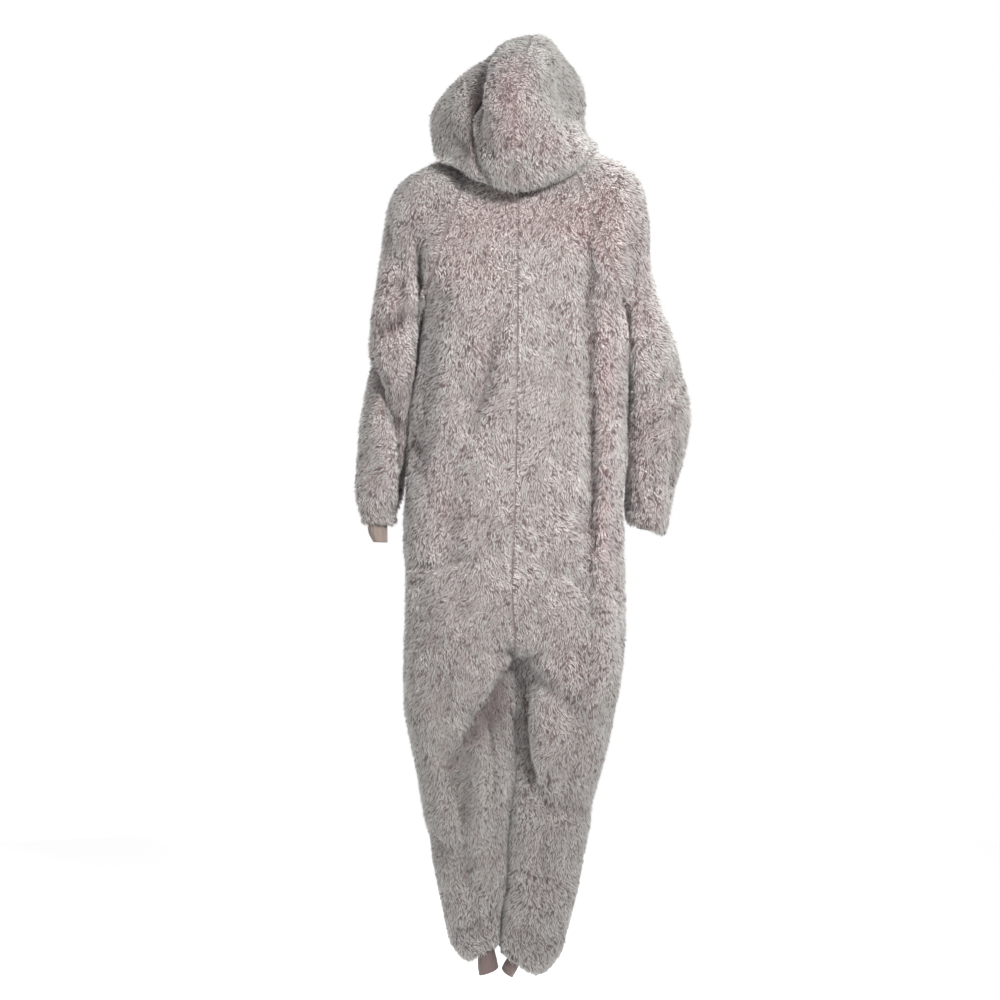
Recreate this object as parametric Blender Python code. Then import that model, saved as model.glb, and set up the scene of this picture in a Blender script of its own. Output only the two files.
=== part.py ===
"""A hooded plush onesie that keeps the shape of a wearer who isn't there. Metres, +Z up.

The garment hangs from its shoulders, its front towards -Y and its left side towards +X. The origin is
the middle of the shoulder line, where a wearer carries it. Every piece that a maker cuts is a wall of
cloth: two backs, two fronts, two raglan sleeves, two hood halves, four knitted cuffs and a zip.

A cloth piece starts as a grid of points on the outside of the cloth. Pieces that are sewn together
share the points of their seam. The shared points give both pieces one normal there, so that their
walls stay parallel, and each piece then keeps half of the seam gap to itself.
"""

import math

import bmesh
import bpy
import numpy as np
from mathutils import Matrix, Vector

# Cloth
PLUSH = 0.004  # knitted backing with the packed roots of the pile
JERSEY = 0.0024  # double layer of the cuffs
SEAM_GAP = 0.0003
ROUNDNESS = 2.4  # power of the sections' curves: 2 is an ellipse, more is boxier

# Points along the edges of the panels. Sewn edges need the same count on both pieces.
BACK_COLUMNS = 8
FRONT_COLUMNS = 6
RAGLAN_STEPS = 6
SLEEVE_AROUND = 2 * RAGLAN_STEPS + 2  # two steps of each sleeve's ring are its stretch of neckline

# Zip
ZIP_HALF_OPENING = 0.009  # from the zip's centre line to the edge of the plush
ZIP_LAST_ROW = 18  # the zip runs along the front panels' rows from the neckline down to this one
ZIP_CLOSES_IN = 2  # rows below the zip over which the fronts come together
TAPE_THICK = 0.0012
TAPE_GAP = 0.0006  # between the plush and the tape behind it
TAPE_INNER = 0.0013
TAPE_OUTER = 0.017

# Slider, whose plates lie before and behind the tapes, and its pull tab
SLIDER_TOP_WIDTH = 0.0105
SLIDER_LOW_WIDTH = 0.0080
SLIDER_LENGTH = 0.0145
SLIDER_PLATE = 0.0016
SLIDER_SLOT = 0.0020  # between its plates
SLIDER_POST = (0.0016, 0.0050)  # width and length of the post between the tapes
SLIDER_CHAMFER = 0.0015
SLIDER_DROP = 0.013  # from the neckline to the slider's middle
EYE_INNER = 0.0014
EYE_OUTER = 0.0028
EYE_WIDTH = 0.0020
EYE_STEPS = 16
PIVOT_OUT = 0.0016  # from the slider's face to the middle of its eye
PIVOT_UP = 0.0020  # from the slider's middle
TAB_THICK = 0.0015
TAB_HEAD_WIDTH = 0.0060
TAB_WIDTH = 0.0085
TAB_LENGTH = 0.034
TAB_END_STEPS = 8  # of the tab's round end
TAB_WINDOW = (0.0036, 0.0045)  # width and length of the hole that the eye stands in

# Both pieces at a seam split its wall into triangles from the points further along this direction, so
# that the two walls match.
DIAGONALS_FROM = np.array((0.37, 0.61, 0.71))

LEFT, RIGHT = 1, -1
SIDE_NAMES = {LEFT: "left", RIGHT: "right"}


def table(columns, *rows):
    """A short table with named columns, as a dict of arrays."""
    return dict(zip(columns.split(), np.array(rows, float).T, strict=True))


# The middle of the back and of the front, row by row from the neckline to the underarm.
YOKE = table(
    "mid     back_z   back   front_z  front",
    (-0.002, 0.030, 0.075, -0.025, 0.078),
    (-0.002, -0.008, 0.084, -0.050, 0.085),
    (-0.001, -0.048, 0.092, -0.078, 0.092),
    (-0.001, -0.090, 0.098, -0.110, 0.098),
    (0.000, -0.132, 0.102, -0.145, 0.102),
    (0.000, -0.174, 0.104, -0.180, 0.105),
    (0.000, -0.215, 0.105, -0.215, 0.106),
)

# Sections of the trunk from the underarm to the crotch. left and right are the half widths either side
# of mid. fork says how far the section has parted into two legs, from 0 to 1.
TRUNK = table(
    "z       mid     left    right   back    front   fork",
    (-0.215, 0.000, 0.166, 0.196, 0.105, 0.106, 0.00),
    (-0.285, 0.000, 0.170, 0.199, 0.105, 0.108, 0.00),
    (-0.390, 0.001, 0.180, 0.194, 0.101, 0.105, 0.00),
    (-0.500, 0.003, 0.184, 0.191, 0.099, 0.102, 0.00),
    (-0.610, 0.006, 0.183, 0.185, 0.102, 0.101, 0.00),
    (-0.700, 0.010, 0.180, 0.189, 0.107, 0.101, 0.00),
    (-0.755, 0.009, 0.181, 0.188, 0.109, 0.100, 0.14),
    (-0.800, 0.006, 0.183, 0.186, 0.106, 0.098, 0.52),
    (-0.830, 0.003, 0.186, 0.181, 0.102, 0.096, 1.00),
)

# Sections of each leg below the crotch. inner and outer are distances from the object's own middle, and
# drop is how much lower the outer side hangs. The last rows turn in under the hem to the cuff.
LEG = {
    LEFT: table(
        "z       inner   outer   back    front   drop",
        (-0.830, 0.003, 0.189, 0.102, 0.096, 0.000),
        (-0.880, 0.005, 0.192, 0.098, 0.092, 0.000),
        (-0.950, 0.007, 0.187, 0.091, 0.087, 0.000),
        (-1.050, 0.010, 0.171, 0.082, 0.080, 0.000),
        (-1.150, 0.020, 0.151, 0.074, 0.073, 0.000),
        (-1.250, 0.030, 0.129, 0.065, 0.065, 0.000),
        (-1.312, 0.035, 0.115, 0.058, 0.059, 0.001),
        (-1.344, 0.036, 0.105, 0.052, 0.054, 0.008),
        (-1.364, 0.037, 0.088, 0.046, 0.048, 0.015),
        (-1.357, 0.043, 0.070, 0.037, 0.039, 0.014),
    ),
    RIGHT: table(
        "z       inner   outer   back    front   drop",
        (-0.830, -0.003, 0.178, 0.102, 0.096, 0.000),
        (-0.880, 0.006, 0.177, 0.098, 0.092, 0.000),
        (-0.950, 0.006, 0.166, 0.091, 0.087, 0.000),
        (-1.050, 0.003, 0.143, 0.082, 0.080, 0.000),
        (-1.150, -0.007, 0.120, 0.075, 0.074, 0.000),
        (-1.250, -0.016, 0.098, 0.067, 0.067, 0.000),
        (-1.318, -0.020, 0.083, 0.060, 0.061, 0.002),
        (-1.352, -0.022, 0.074, 0.054, 0.056, 0.009),
        (-1.377, -0.021, 0.055, 0.048, 0.050, 0.018),
        (-1.386, -0.019, 0.032, 0.042, 0.044, 0.020),
        (-1.375, -0.013, 0.006, 0.034, 0.036, 0.015),
    ),
}

# Rings of each sleeve, from the raglan seam to the cuff. A ring runs from its top, on the shoulder or the
# outside of the arm, to its low point on the underarm seam. y is its middle, back and front its reach.
SLEEVE = {
    LEFT: table(
        "top_x  top_z   low_x   low_z    y      back   front",
        (0.078, 0.052, 0.166, -0.215, 0.000, 0.092, 0.090),
        (0.122, 0.044, 0.168, -0.226, 0.000, 0.089, 0.090),
        (0.164, 0.028, 0.171, -0.241, -0.002, 0.082, 0.086),
        (0.200, 0.007, 0.175, -0.260, -0.005, 0.074, 0.080),
        (0.222, -0.032, 0.179, -0.284, -0.008, 0.069, 0.075),
        (0.232, -0.094, 0.184, -0.318, -0.011, 0.067, 0.072),
        (0.244, -0.170, 0.188, -0.360, -0.014, 0.066, 0.070),
        (0.254, -0.255, 0.190, -0.405, -0.017, 0.064, 0.068),
        (0.264, -0.345, 0.196, -0.450, -0.020, 0.061, 0.065),
        (0.273, -0.435, 0.205, -0.495, -0.022, 0.057, 0.061),
        (0.276, -0.515, 0.217, -0.540, -0.024, 0.052, 0.056),
        (0.277, -0.572, 0.223, -0.580, -0.025, 0.047, 0.050),
        (0.275, -0.599, 0.221, -0.601, -0.025, 0.041, 0.044),
        (0.266, -0.595, 0.233, -0.597, -0.025, 0.031, 0.033),
    ),
    RIGHT: table(
        "top_x  top_z   low_x   low_z    y      back   front",
        (0.080, 0.064, 0.196, -0.215, 0.000, 0.092, 0.090),
        (0.124, 0.056, 0.197, -0.227, 0.000, 0.089, 0.090),
        (0.168, 0.040, 0.199, -0.243, -0.002, 0.083, 0.086),
        (0.203, 0.016, 0.201, -0.263, -0.005, 0.076, 0.080),
        (0.222, -0.026, 0.203, -0.288, -0.008, 0.071, 0.075),
        (0.231, -0.090, 0.204, -0.320, -0.011, 0.068, 0.072),
        (0.243, -0.165, 0.204, -0.358, -0.014, 0.066, 0.070),
        (0.266, -0.250, 0.204, -0.400, -0.017, 0.064, 0.068),
        (0.299, -0.345, 0.204, -0.445, -0.020, 0.062, 0.066),
        (0.305, -0.430, 0.203, -0.490, -0.022, 0.058, 0.062),
        (0.286, -0.520, 0.200, -0.538, -0.024, 0.053, 0.057),
        (0.272, -0.590, 0.199, -0.583, -0.025, 0.047, 0.050),
        (0.263, -0.620, 0.203, -0.601, -0.025, 0.041, 0.044),
        (0.251, -0.612, 0.214, -0.600, -0.025, 0.031, 0.033),
    ),
}

# The hood's first rows, which roll out over the neckline. Each follows the neckline, moved outwards and up
# by these distances at the back, the sides and the front. gape is the share of the neckline that the row
# leaves open for the face.
HOOD_ROLL = table(
    "gape  back_out back_up  left_out right_out side_up front_out front_up",
    (0.05, 0.027, -0.026, 0.024, 0.022, 0.003, 0.004, 0.012),
    (0.10, 0.056, -0.049, 0.045, 0.040, 0.004, 0.012, 0.032),
    (0.17, 0.083, -0.042, 0.060, 0.052, 0.013, 0.028, 0.058),
)

# The hood's other rows, each a rib from the seam at the back and crown to the edge of the face opening.
# left and right are its half widths either side of mid, and the edges are that far from mid too.
HOOD = table(
    "mid     seam_y  seam_z  edge_y  edge_z  left   right  left_edge right_edge",
    (0.004, 0.174, 0.044, -0.112, 0.108, 0.139, 0.122, 0.074, 0.086),
    (0.008, 0.176, 0.094, -0.113, 0.138, 0.136, 0.116, 0.070, 0.096),
    (0.002, 0.163, 0.145, -0.108, 0.166, 0.122, 0.112, 0.068, 0.090),
    (-0.010, 0.132, 0.195, -0.100, 0.194, 0.098, 0.088, 0.066, 0.074),
    (-0.021, 0.082, 0.234, -0.092, 0.215, 0.075, 0.058, 0.056, 0.054),
    (-0.028, 0.020, 0.260, -0.085, 0.230, 0.057, 0.037, 0.046, 0.035),
    (-0.032, -0.044, 0.261, -0.079, 0.239, 0.041, 0.026, 0.041, 0.026),
)

# Each cuff's rings below its seam, as shares of the seam's width and depth, a shift to +X and a drop. A
# ring is half as slanted as the seam.
CUFF = {
    ("wrist", LEFT): table(
        "wide    deep    shift   drop",
        (1.04, 0.96, 0.001, 0.012),
        (1.00, 0.94, 0.000, 0.027),
        (0.76, 0.90, -0.004, 0.042),
    ),
    ("wrist", RIGHT): table(
        "wide    deep    shift   drop",
        (0.96, 0.96, 0.000, 0.008),
        (0.94, 0.94, 0.000, 0.015),
        (0.90, 0.90, 0.000, 0.022),
    ),
    ("ankle", LEFT): table(
        "wide    deep    shift   drop",
        (1.05, 1.00, -0.001, 0.012),
        (1.22, 1.00, -0.003, 0.030),
        (1.30, 0.96, -0.006, 0.047),
    ),
    ("ankle", RIGHT): table(
        "wide    deep    shift   drop",
        (1.00, 1.00, 0.002, 0.010),
        (1.05, 1.00, 0.008, 0.021),
        (1.05, 0.96, 0.014, 0.032),
    ),
}

# The largest folds. A fold runs from its start to its end as seen from the back or the front, and draws
# the cloth in by its depth over its width on each side. A negative depth is a ridge.
FOLDS = table(
    "face  x0      z0      x1      z1      width   depth",
    (1, 0.048, 0.176, 0.058, 0.040, 0.026, 0.020),  # hood, beside the seam
    (1, 0.018, 0.170, 0.012, 0.030, 0.030, -0.010),  # hood, the lobe that hangs over that fold
    (1, -0.105, 0.105, -0.128, 0.095, 0.016, 0.008),  # hood, pinch at the edge
    (1, 0.176, -0.085, 0.172, -0.215, 0.024, 0.014),  # left armpit
    (1, -0.204, -0.105, -0.204, -0.225, 0.020, 0.012),  # right armpit
    (1, -0.136, -0.130, -0.134, -0.700, 0.026, 0.009),  # back, down from the right armpit
    (1, 0.040, -0.860, 0.095, -0.960, 0.024, 0.012),  # left thigh, out from the crotch
    (1, -0.030, -0.880, -0.036, -1.060, 0.022, 0.010),  # right thigh
    (1, 0.258, -0.292, 0.212, -0.392, 0.020, 0.014),  # left elbow
    (1, 0.232, -0.420, 0.214, -0.560, 0.018, 0.010),  # left forearm
    (-1, 0.120, -0.240, 0.092, -0.560, 0.028, 0.009),  # left front
    (-1, -0.130, -0.260, -0.104, -0.620, 0.028, 0.008),  # right front
    (-1, 0.060, -0.870, 0.100, -0.990, 0.024, 0.009),  # left front thigh
    (-1, -0.050, -0.870, -0.092, -0.980, 0.024, 0.009),  # right front thigh
)

COLOURS = {
    "plush": (0.36, 0.30, 0.285),
    "jersey": (0.38, 0.27, 0.23),
    "tape": (0.30, 0.22, 0.20),
    "metal": (0.55, 0.53, 0.50),
}


def smooth_rows(rows, steps):
    """The table again with steps rows for each of its own, on smooth curves through them."""
    old = np.arange(len(next(iter(rows.values()))))
    new = np.linspace(0, old[-1], old[-1] * steps + 1)
    i = np.clip(new.astype(int), 0, len(old) - 2)
    t = new - i
    made = {}
    for name, values in rows.items():
        slope = np.gradient(values)
        made[name] = (
            (1 + 2 * t) * (1 - t) ** 2 * values[i]
            + t * (1 - t) ** 2 * slope[i]
            + t * t * (3 - 2 * t) * values[i + 1]
            + t * t * (t - 1) * slope[i + 1]
        )
    return made


def each_row(rows):
    """The table's rows one by one, each as a dict."""
    for values in zip(*rows.values(), strict=True):
        yield dict(zip(rows, values, strict=True))


def first_row(rows):
    return next(each_row(rows))


def bent(value):
    """A sine or cosine bent from a circle's to the sections' curve."""
    return math.copysign(abs(value) ** (2 / ROUNDNESS), value)


def sleeve_ring(side, row):
    """The points of a sleeve's ring: the top first, then down the back to the underarm and up the front."""
    top = np.array((row["top_x"], row["top_z"]))
    low = np.array((row["low_x"], row["low_z"]))
    points = []
    for k in range(SLEEVE_AROUND):
        angle = 2 * math.pi * k / SLEEVE_AROUND
        x, z = (top + low) / 2 + (top - low) / 2 * bent(math.cos(angle))
        reach = row["back"] if math.sin(angle) > 0 else row["front"]
        points.append((side * x, row["y"] + reach * bent(math.sin(angle)), z))
    return points


def yoke_row(side, face, row, corner, columns):
    """Points from the middle of the back (face 1) or front (face -1) out to a corner on the raglan seam."""
    name = "back" if face > 0 else "front"
    depth, z = row[name], row[name + "_z"]
    reach = side * (corner[0] - row["mid"])
    share = min(abs(corner[1]) / depth, 1.0)
    width = reach / (1 - share**ROUNDNESS) ** (1 / ROUNDNESS)
    last = math.asin(min(1.0, (reach / width) ** (ROUNDNESS / 2)))
    points = []
    for k in range(columns + 1):
        angle = last * k / columns
        across = width * bent(math.sin(angle))
        height = z + (corner[2] - z) * across / reach
        points.append((row["mid"] + side * across, face * depth * bent(math.cos(angle)), height))
    points[-1] = tuple(corner)
    return points


def trunk_row(side, face, row, columns):
    """Points from the middle or the inside of the leg, round the back or front, to the side seam."""
    fork = min(1.0, max(0.0, row["fork"]))
    half = row["left" if side > 0 else "right"] / (1 + fork)
    depth = row["back" if face > 0 else "front"]
    first = -math.asin(fork ** (ROUNDNESS / 2))
    points = []
    for k in range(columns + 1):
        angle = first + (math.pi / 2 - first) * k / columns
        x = row["mid"] + side * half * (fork + bent(math.sin(angle)))
        points.append((x, face * depth * bent(math.cos(angle)), row["z"]))
    return points


def leg_row(side, face, row, columns):
    """Points from the inside seam of a leg, round its back or front, to the side seam."""
    middle, half = (row["outer"] + row["inner"]) / 2, (row["outer"] - row["inner"]) / 2
    depth = row["back" if face > 0 else "front"]
    points = []
    for k in range(columns + 1):
        angle = math.pi * (k / columns - 0.5)
        x = side * (middle + half * bent(math.sin(angle)))
        y = face * depth * bent(math.cos(angle))
        points.append((x, y, row["z"] - row["drop"] * math.sin(angle)))
    return points


def clear_of_zip(points, side, row_number):
    """Moves the inner half of a front panel's row away from the middle, to leave room for the zip."""
    closed = max(0, row_number - ZIP_LAST_ROW) / ZIP_CLOSES_IN
    opening = ZIP_HALF_OPENING * max(0.0, 1 - closed)
    reach = abs(points[-1][0] - points[0][0])
    moved = []
    for x, y, z in points:
        share = abs(x - points[0][0]) / reach
        moved.append((x + side * opening * max(0.0, 1 - 2 * share), y, z))
    return moved


def body_panel(side, face):
    """A back or front from the neckline to the ankle, as rows of points from its inner edge outwards."""
    columns = BACK_COLUMNS if face > 0 else FRONT_COLUMNS
    raglan = sleeve_ring(side, first_row(SLEEVE[side]))
    rows = []
    for j, row in enumerate(each_row(YOKE)):
        rows.append(yoke_row(side, face, row, raglan[face * (j + 1)], columns))
    for row in list(each_row(smooth_rows(TRUNK, 2)))[1:]:
        rows.append(trunk_row(side, face, row, columns))
    for row in list(each_row(smooth_rows(LEG[side], 2)))[1:]:
        rows.append(leg_row(side, face, row, columns))
    if face < 0:
        rows = [clear_of_zip(row, side, j) for j, row in enumerate(rows)]
    return np.array(rows)


def ankle_ring(side):
    """The leg's last ring: from the inside seam round the back to the side seam and back by the front."""
    back, front = body_panel(side, 1)[-1], body_panel(side, -1)[-1]
    return np.vstack((back, front[-2:0:-1]))


def neckline(side):
    """Half of the neckline, from the middle of the back over the shoulder to the zip."""
    shoulder = sleeve_ring(side, first_row(SLEEVE[side]))[0]
    return np.vstack((body_panel(side, 1)[0], shoulder, body_panel(side, -1)[0][::-1]))


def hood_roll_row(side, row):
    """The neckline moved outwards and up."""
    line = neckline(side)
    places = np.linspace(0, (1 - row["gape"]) * (len(line) - 1), len(line))
    line = np.stack([np.interp(places, np.arange(len(line)), axis) for axis in line.T], axis=1)
    radial = (line - (line[0, 0], 0, 0)) * (1, 1, 0)
    radial /= np.linalg.norm(radial, axis=1, keepdims=True)
    at_side = radial[:, 0] ** 2
    at_back = np.where(radial[:, 1] > 0, 1 - at_side, 0)
    at_front = np.where(radial[:, 1] > 0, 0, 1 - at_side)
    side_out = row["left_out" if side > 0 else "right_out"]
    out = at_back * row["back_out"] + at_side * side_out + at_front * row["front_out"]
    up = at_back * row["back_up"] + at_side * row["side_up"] + at_front * row["front_up"]
    return line + radial * out[:, None] + np.outer(up, (0, 0, 1))


def hood_row(side, row):
    """Points from the hood's seam round to the edge of the face opening."""
    name = "left" if side > 0 else "right"
    half = row[name]
    seam = np.array((row["seam_y"], row["seam_z"]))
    edge = np.array((row["edge_y"], row["edge_z"]))
    turn = math.pi - math.asin(row[name + "_edge"] / half)
    middle = (edge - math.cos(turn) * seam) / (1 - math.cos(turn))
    columns = len(neckline(side)) - 1
    points = []
    for k in range(columns + 1):
        angle = turn * k / columns
        y, z = middle + (seam - middle) * math.cos(angle)
        points.append((row["mid"] + side * half * math.sin(angle), y, z))
    return points


def hood_panel(side):
    """A hood half, from the neckline up to the face opening's top, as rows from its seam outwards."""
    rows = [neckline(side)]
    rows += [hood_roll_row(side, row) for row in each_row(HOOD_ROLL)]
    rows += [hood_row(side, row) for row in each_row(HOOD)]
    return np.array(rows)


def cuff_rings(seam_ring, rows):
    """A cuff's rings, from its seam down."""
    middle = seam_ring.mean(axis=0)
    rings = [seam_ring]
    for row in each_row(rows):
        ring = middle + (seam_ring - middle) * (row["wide"], row["deep"], 0.5)
        ring[:, 0] += row["shift"]
        ring[:, 2] -= row["drop"]
        rings.append(ring)
    return np.array(rings)


def grid_normals(grid, closed):
    """Unit normals of a grid of points, from its rows and columns."""
    along = np.gradient(grid, axis=0)
    if closed:
        across = np.roll(grid, -1, axis=1) - np.roll(grid, 1, axis=1)
    else:
        across = np.gradient(grid, axis=1)
    normals = np.cross(across, along)
    return normals / np.maximum(np.linalg.norm(normals, axis=2, keepdims=True), 1e-12)


def share_normals(pieces):
    """Gives each piece its normals, with one and the same normal at the points that pieces share."""
    sums = {}
    for piece in pieces:
        normals = grid_normals(piece["grid"], piece["closed"]) * piece["turn"]
        piece["normals"] = normals
        for point, normal in zip(piece["grid"].reshape(-1, 3), normals.reshape(-1, 3), strict=True):
            key = tuple(np.round(point, 6))
            sums[key] = sums.get(key, 0) + normal
    for piece in pieces:
        flat = [sums[tuple(np.round(p, 6))] for p in piece["grid"].reshape(-1, 3)]
        flat = np.array(flat)
        flat /= np.linalg.norm(flat, axis=1, keepdims=True)
        piece["normals"] = flat.reshape(piece["grid"].shape)


def fold_depth(point, normal):
    """How far the folds draw the cloth in at a point."""
    total = 0.0
    for fold in each_row(FOLDS):
        start = np.array((fold["x0"], fold["z0"]))
        run = np.array((fold["x1"], fold["z1"])) - start
        seen = point[[0, 2]] - start
        share = float(seen @ run / (run @ run))
        away = np.linalg.norm(seen - np.clip(share, 0, 1) * run) / fold["width"]
        facing = max(0.0, normal[1] * fold["face"])
        if away < 1 and facing > 0:
            total += fold["depth"] * (1 - away**2) ** 2 * facing**0.5
    return total


def fold_cloth(pieces):
    """Draws every piece in along its folds."""
    share_normals(pieces)
    for piece in pieces:
        shape = piece["grid"].shape
        points, normals = piece["grid"].reshape(-1, 3), piece["normals"].reshape(-1, 3)
        depths = np.array([fold_depth(p, n) for p, n in zip(points, normals, strict=True)])
        piece["grid"] = (points - normals * depths[:, None]).reshape(shape)
    share_normals(pieces)


def open_seams(grid, normals, closed):
    """The grid with each edge point moved towards its own piece, half of the seam gap."""
    move = np.zeros_like(grid)

    def pull(edge, inside):
        step = grid[inside] - grid[edge]
        step -= (step * normals[edge]).sum(axis=1, keepdims=True) * normals[edge]
        move[edge] += step / np.linalg.norm(step, axis=1, keepdims=True) * SEAM_GAP / 2

    pull(np.s_[0, :], np.s_[1, :])
    pull(np.s_[-1, :], np.s_[-2, :])
    if not closed:
        pull(np.s_[:, 0], np.s_[:, 1])
        pull(np.s_[:, -1], np.s_[:, -2])
    return grid + move


def wall_mesh(outer, inner, closed):
    """A closed mesh between two grids of points."""
    mesh = bmesh.new()
    out = [[mesh.verts.new(p) for p in row] for row in outer]
    into = [[mesh.verts.new(p) for p in row] for row in inner]
    height, width = len(out), len(out[0])
    pairs = [(j, (j + 1) % width) for j in range(width if closed else width - 1)]
    for i in range(height - 1):
        for j, k in pairs:
            mesh.faces.new((out[i][j], out[i + 1][j], out[i + 1][k], out[i][k]))
            mesh.faces.new((into[i][j], into[i][k], into[i + 1][k], into[i + 1][j]))

    def rim(a, b, inner_b, inner_a):
        if (np.array(b.co) - np.array(a.co)) @ DIAGONALS_FROM > 0:
            mesh.faces.new((a, b, inner_a))
            mesh.faces.new((b, inner_b, inner_a))
        else:
            mesh.faces.new((a, b, inner_b))
            mesh.faces.new((a, inner_b, inner_a))

    for j, k in pairs:
        rim(out[0][j], out[0][k], into[0][k], into[0][j])
        rim(out[-1][k], out[-1][j], into[-1][j], into[-1][k])
    if not closed:
        for i in range(height - 1):
            rim(out[i + 1][0], out[i][0], into[i][0], into[i + 1][0])
            rim(out[i][-1], out[i + 1][-1], into[i + 1][-1], into[i][-1])
    return mesh


def add_object(name, mesh, material, parent=None, smooth_angle=40):
    """Makes an object of a bmesh, with its faces pointing out."""
    bmesh.ops.recalc_face_normals(mesh, faces=mesh.faces)
    if mesh.calc_volume(signed=True) < 0:
        bmesh.ops.reverse_faces(mesh, faces=mesh.faces)
    data = bpy.data.meshes.new(name)
    mesh.to_mesh(data)
    mesh.free()
    data.materials.append(material)
    data.shade_smooth()
    data.set_sharp_from_angle(angle=math.radians(smooth_angle))
    obj = bpy.data.objects.new(name, data)
    bpy.context.scene.collection.objects.link(obj)
    obj.parent = parent
    return obj


def make_material(name, roughness=0.95, metallic=0.0):
    material = bpy.data.materials.new(name)
    material.use_nodes = True
    shader = material.node_tree.nodes["Principled BSDF"]
    shader.inputs["Base Color"].default_value = (*COLOURS[name], 1)
    shader.inputs["Roughness"].default_value = roughness
    shader.inputs["Metallic"].default_value = metallic
    return material


def facing_out(grid, closed):
    """1 if the grid's own normals point away from the garment's inside there, or else -1."""
    centres = grid.mean(axis=1, keepdims=True)
    return 1 if (grid_normals(grid, closed) * (grid - centres)).sum() > 0 else -1


def cloth_pieces():
    """Every sewn piece of cloth as a grid of points on its outside."""
    grids = []
    for side, name in SIDE_NAMES.items():
        rings = np.array([sleeve_ring(side, row) for row in each_row(SLEEVE[side])])
        grids += [
            (f"back_{name}", body_panel(side, 1), False, "plush"),
            (f"front_{name}", body_panel(side, -1), False, "plush"),
            (f"sleeve_{name}", rings, True, "plush"),
            (f"hood_{name}", hood_panel(side), False, "plush"),
            (f"wrist_cuff_{name}", cuff_rings(rings[-1], CUFF["wrist", side]), True, "jersey"),
            (f"ankle_cuff_{name}", cuff_rings(ankle_ring(side), CUFF["ankle", side]), True, "jersey"),
        ]
    pieces = []
    for name, grid, closed, cloth in grids:
        turn = facing_out(grid, closed)
        pieces.append({"name": name, "grid": grid, "closed": closed, "cloth": cloth, "turn": turn})
    return pieces


def make_cloth(pieces, materials):
    for piece in pieces:
        outer = open_seams(piece["grid"], piece["normals"], piece["closed"])
        thick = PLUSH if piece["cloth"] == "plush" else JERSEY
        mesh = wall_mesh(outer, outer - piece["normals"] * thick, piece["closed"])
        add_object(piece["name"], mesh, materials[piece["cloth"]])


def make_tape(front, side, material):
    """A zip tape behind the edge of a front panel."""
    edge, inside = front["grid"][: ZIP_LAST_ROW + 1, 0], front["grid"][: ZIP_LAST_ROW + 1, 1]
    normals = front["normals"][: ZIP_LAST_ROW + 1, 0]
    across = (inside - edge) / np.linalg.norm(inside - edge, axis=1, keepdims=True)
    behind = edge - normals * (PLUSH + TAPE_GAP)
    inner_edge = behind - np.array((side, 0, 0)) * (ZIP_HALF_OPENING - TAPE_INNER)
    outer_edge = behind + across * (TAPE_OUTER - ZIP_HALF_OPENING)
    outer = np.stack((inner_edge, behind, outer_edge), axis=1)
    mesh = wall_mesh(outer, outer - normals[:, None] * TAPE_THICK, closed=False)
    add_object(f"zip_tape_{SIDE_NAMES[side]}", mesh, material)


def slider_frame(fronts):
    """The matrix of the slider's middle: X across, Y into the garment and Z up along the zip."""
    edges = [(fronts[LEFT]["grid"][i, 0] + fronts[RIGHT]["grid"][i, 0]) / 2 for i in (0, 1)]
    up = Vector(edges[0] - edges[1]).normalized()
    inwards = up.cross(Vector((1, 0, 0))).normalized()
    place = Vector(edges[0]) - up * SLIDER_DROP + inwards * (PLUSH + TAPE_GAP + TAPE_THICK / 2)
    return Matrix.Translation(place) @ Matrix((up.cross(inwards) * -1, inwards, up)).transposed().to_4x4()


def prism(outline, y_from, y_to):
    """A bmesh of an outline in X and Z, from one Y to the other."""
    mesh = bmesh.new()
    ends = [[mesh.verts.new((x, y, z)) for x, z in outline] for y in (y_from, y_to)]
    mesh.faces.new(ends[0])
    mesh.faces.new(ends[1][::-1])
    for j in range(len(outline)):
        k = (j + 1) % len(outline)
        mesh.faces.new((ends[0][j], ends[1][j], ends[1][k], ends[0][k]))
    return mesh


def box_outline(width, z_low, z_high):
    return [(-width / 2, z_low), (width / 2, z_low), (width / 2, z_high), (-width / 2, z_high)]


def add_boolean(target, mesh, operation, material):
    """Joins a shape to the target, or cuts it out. The shape lies in the target's own frame."""
    tool = add_object(f"{target.name}_{len(target.modifiers)}_tool", mesh, material, parent=target)
    tool.hide_render = True
    tool.display_type = "WIRE"
    boolean = target.modifiers.new(operation.title(), "BOOLEAN")
    boolean.operation = operation
    boolean.object = tool


def make_slider(frame, material):
    """Two plates held by a post, and an eye for the pull tab."""
    half = SLIDER_LENGTH / 2
    low, top = SLIDER_LOW_WIDTH / 2, SLIDER_TOP_WIDTH / 2
    outline = [
        (-low + SLIDER_CHAMFER, -half),
        (low - SLIDER_CHAMFER, -half),
        (low, -half + SLIDER_CHAMFER),
        (top, half - 2 * SLIDER_CHAMFER),
        (top - SLIDER_CHAMFER, half),
        (-top + SLIDER_CHAMFER, half),
        (-top, half - 2 * SLIDER_CHAMFER),
        (-low, -half + SLIDER_CHAMFER),
    ]
    slot, face = SLIDER_SLOT / 2, SLIDER_SLOT / 2 + SLIDER_PLATE
    slider = add_object("zip_slider", prism(outline, -face, -slot), material)
    slider.matrix_world = frame
    add_boolean(slider, prism(outline, slot, face), "UNION", material)
    width, length = SLIDER_POST
    sunk = SLIDER_PLATE / 2
    post_top = half - SLIDER_CHAMFER
    post = prism(box_outline(width, post_top - length, post_top), -slot - sunk, slot + sunk)
    add_boolean(slider, post, "UNION", material)
    eye = ring_mesh(EYE_INNER, EYE_OUTER, EYE_WIDTH, (-face - PIVOT_OUT, PIVOT_UP))
    add_boolean(slider, eye, "UNION", material)


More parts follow.
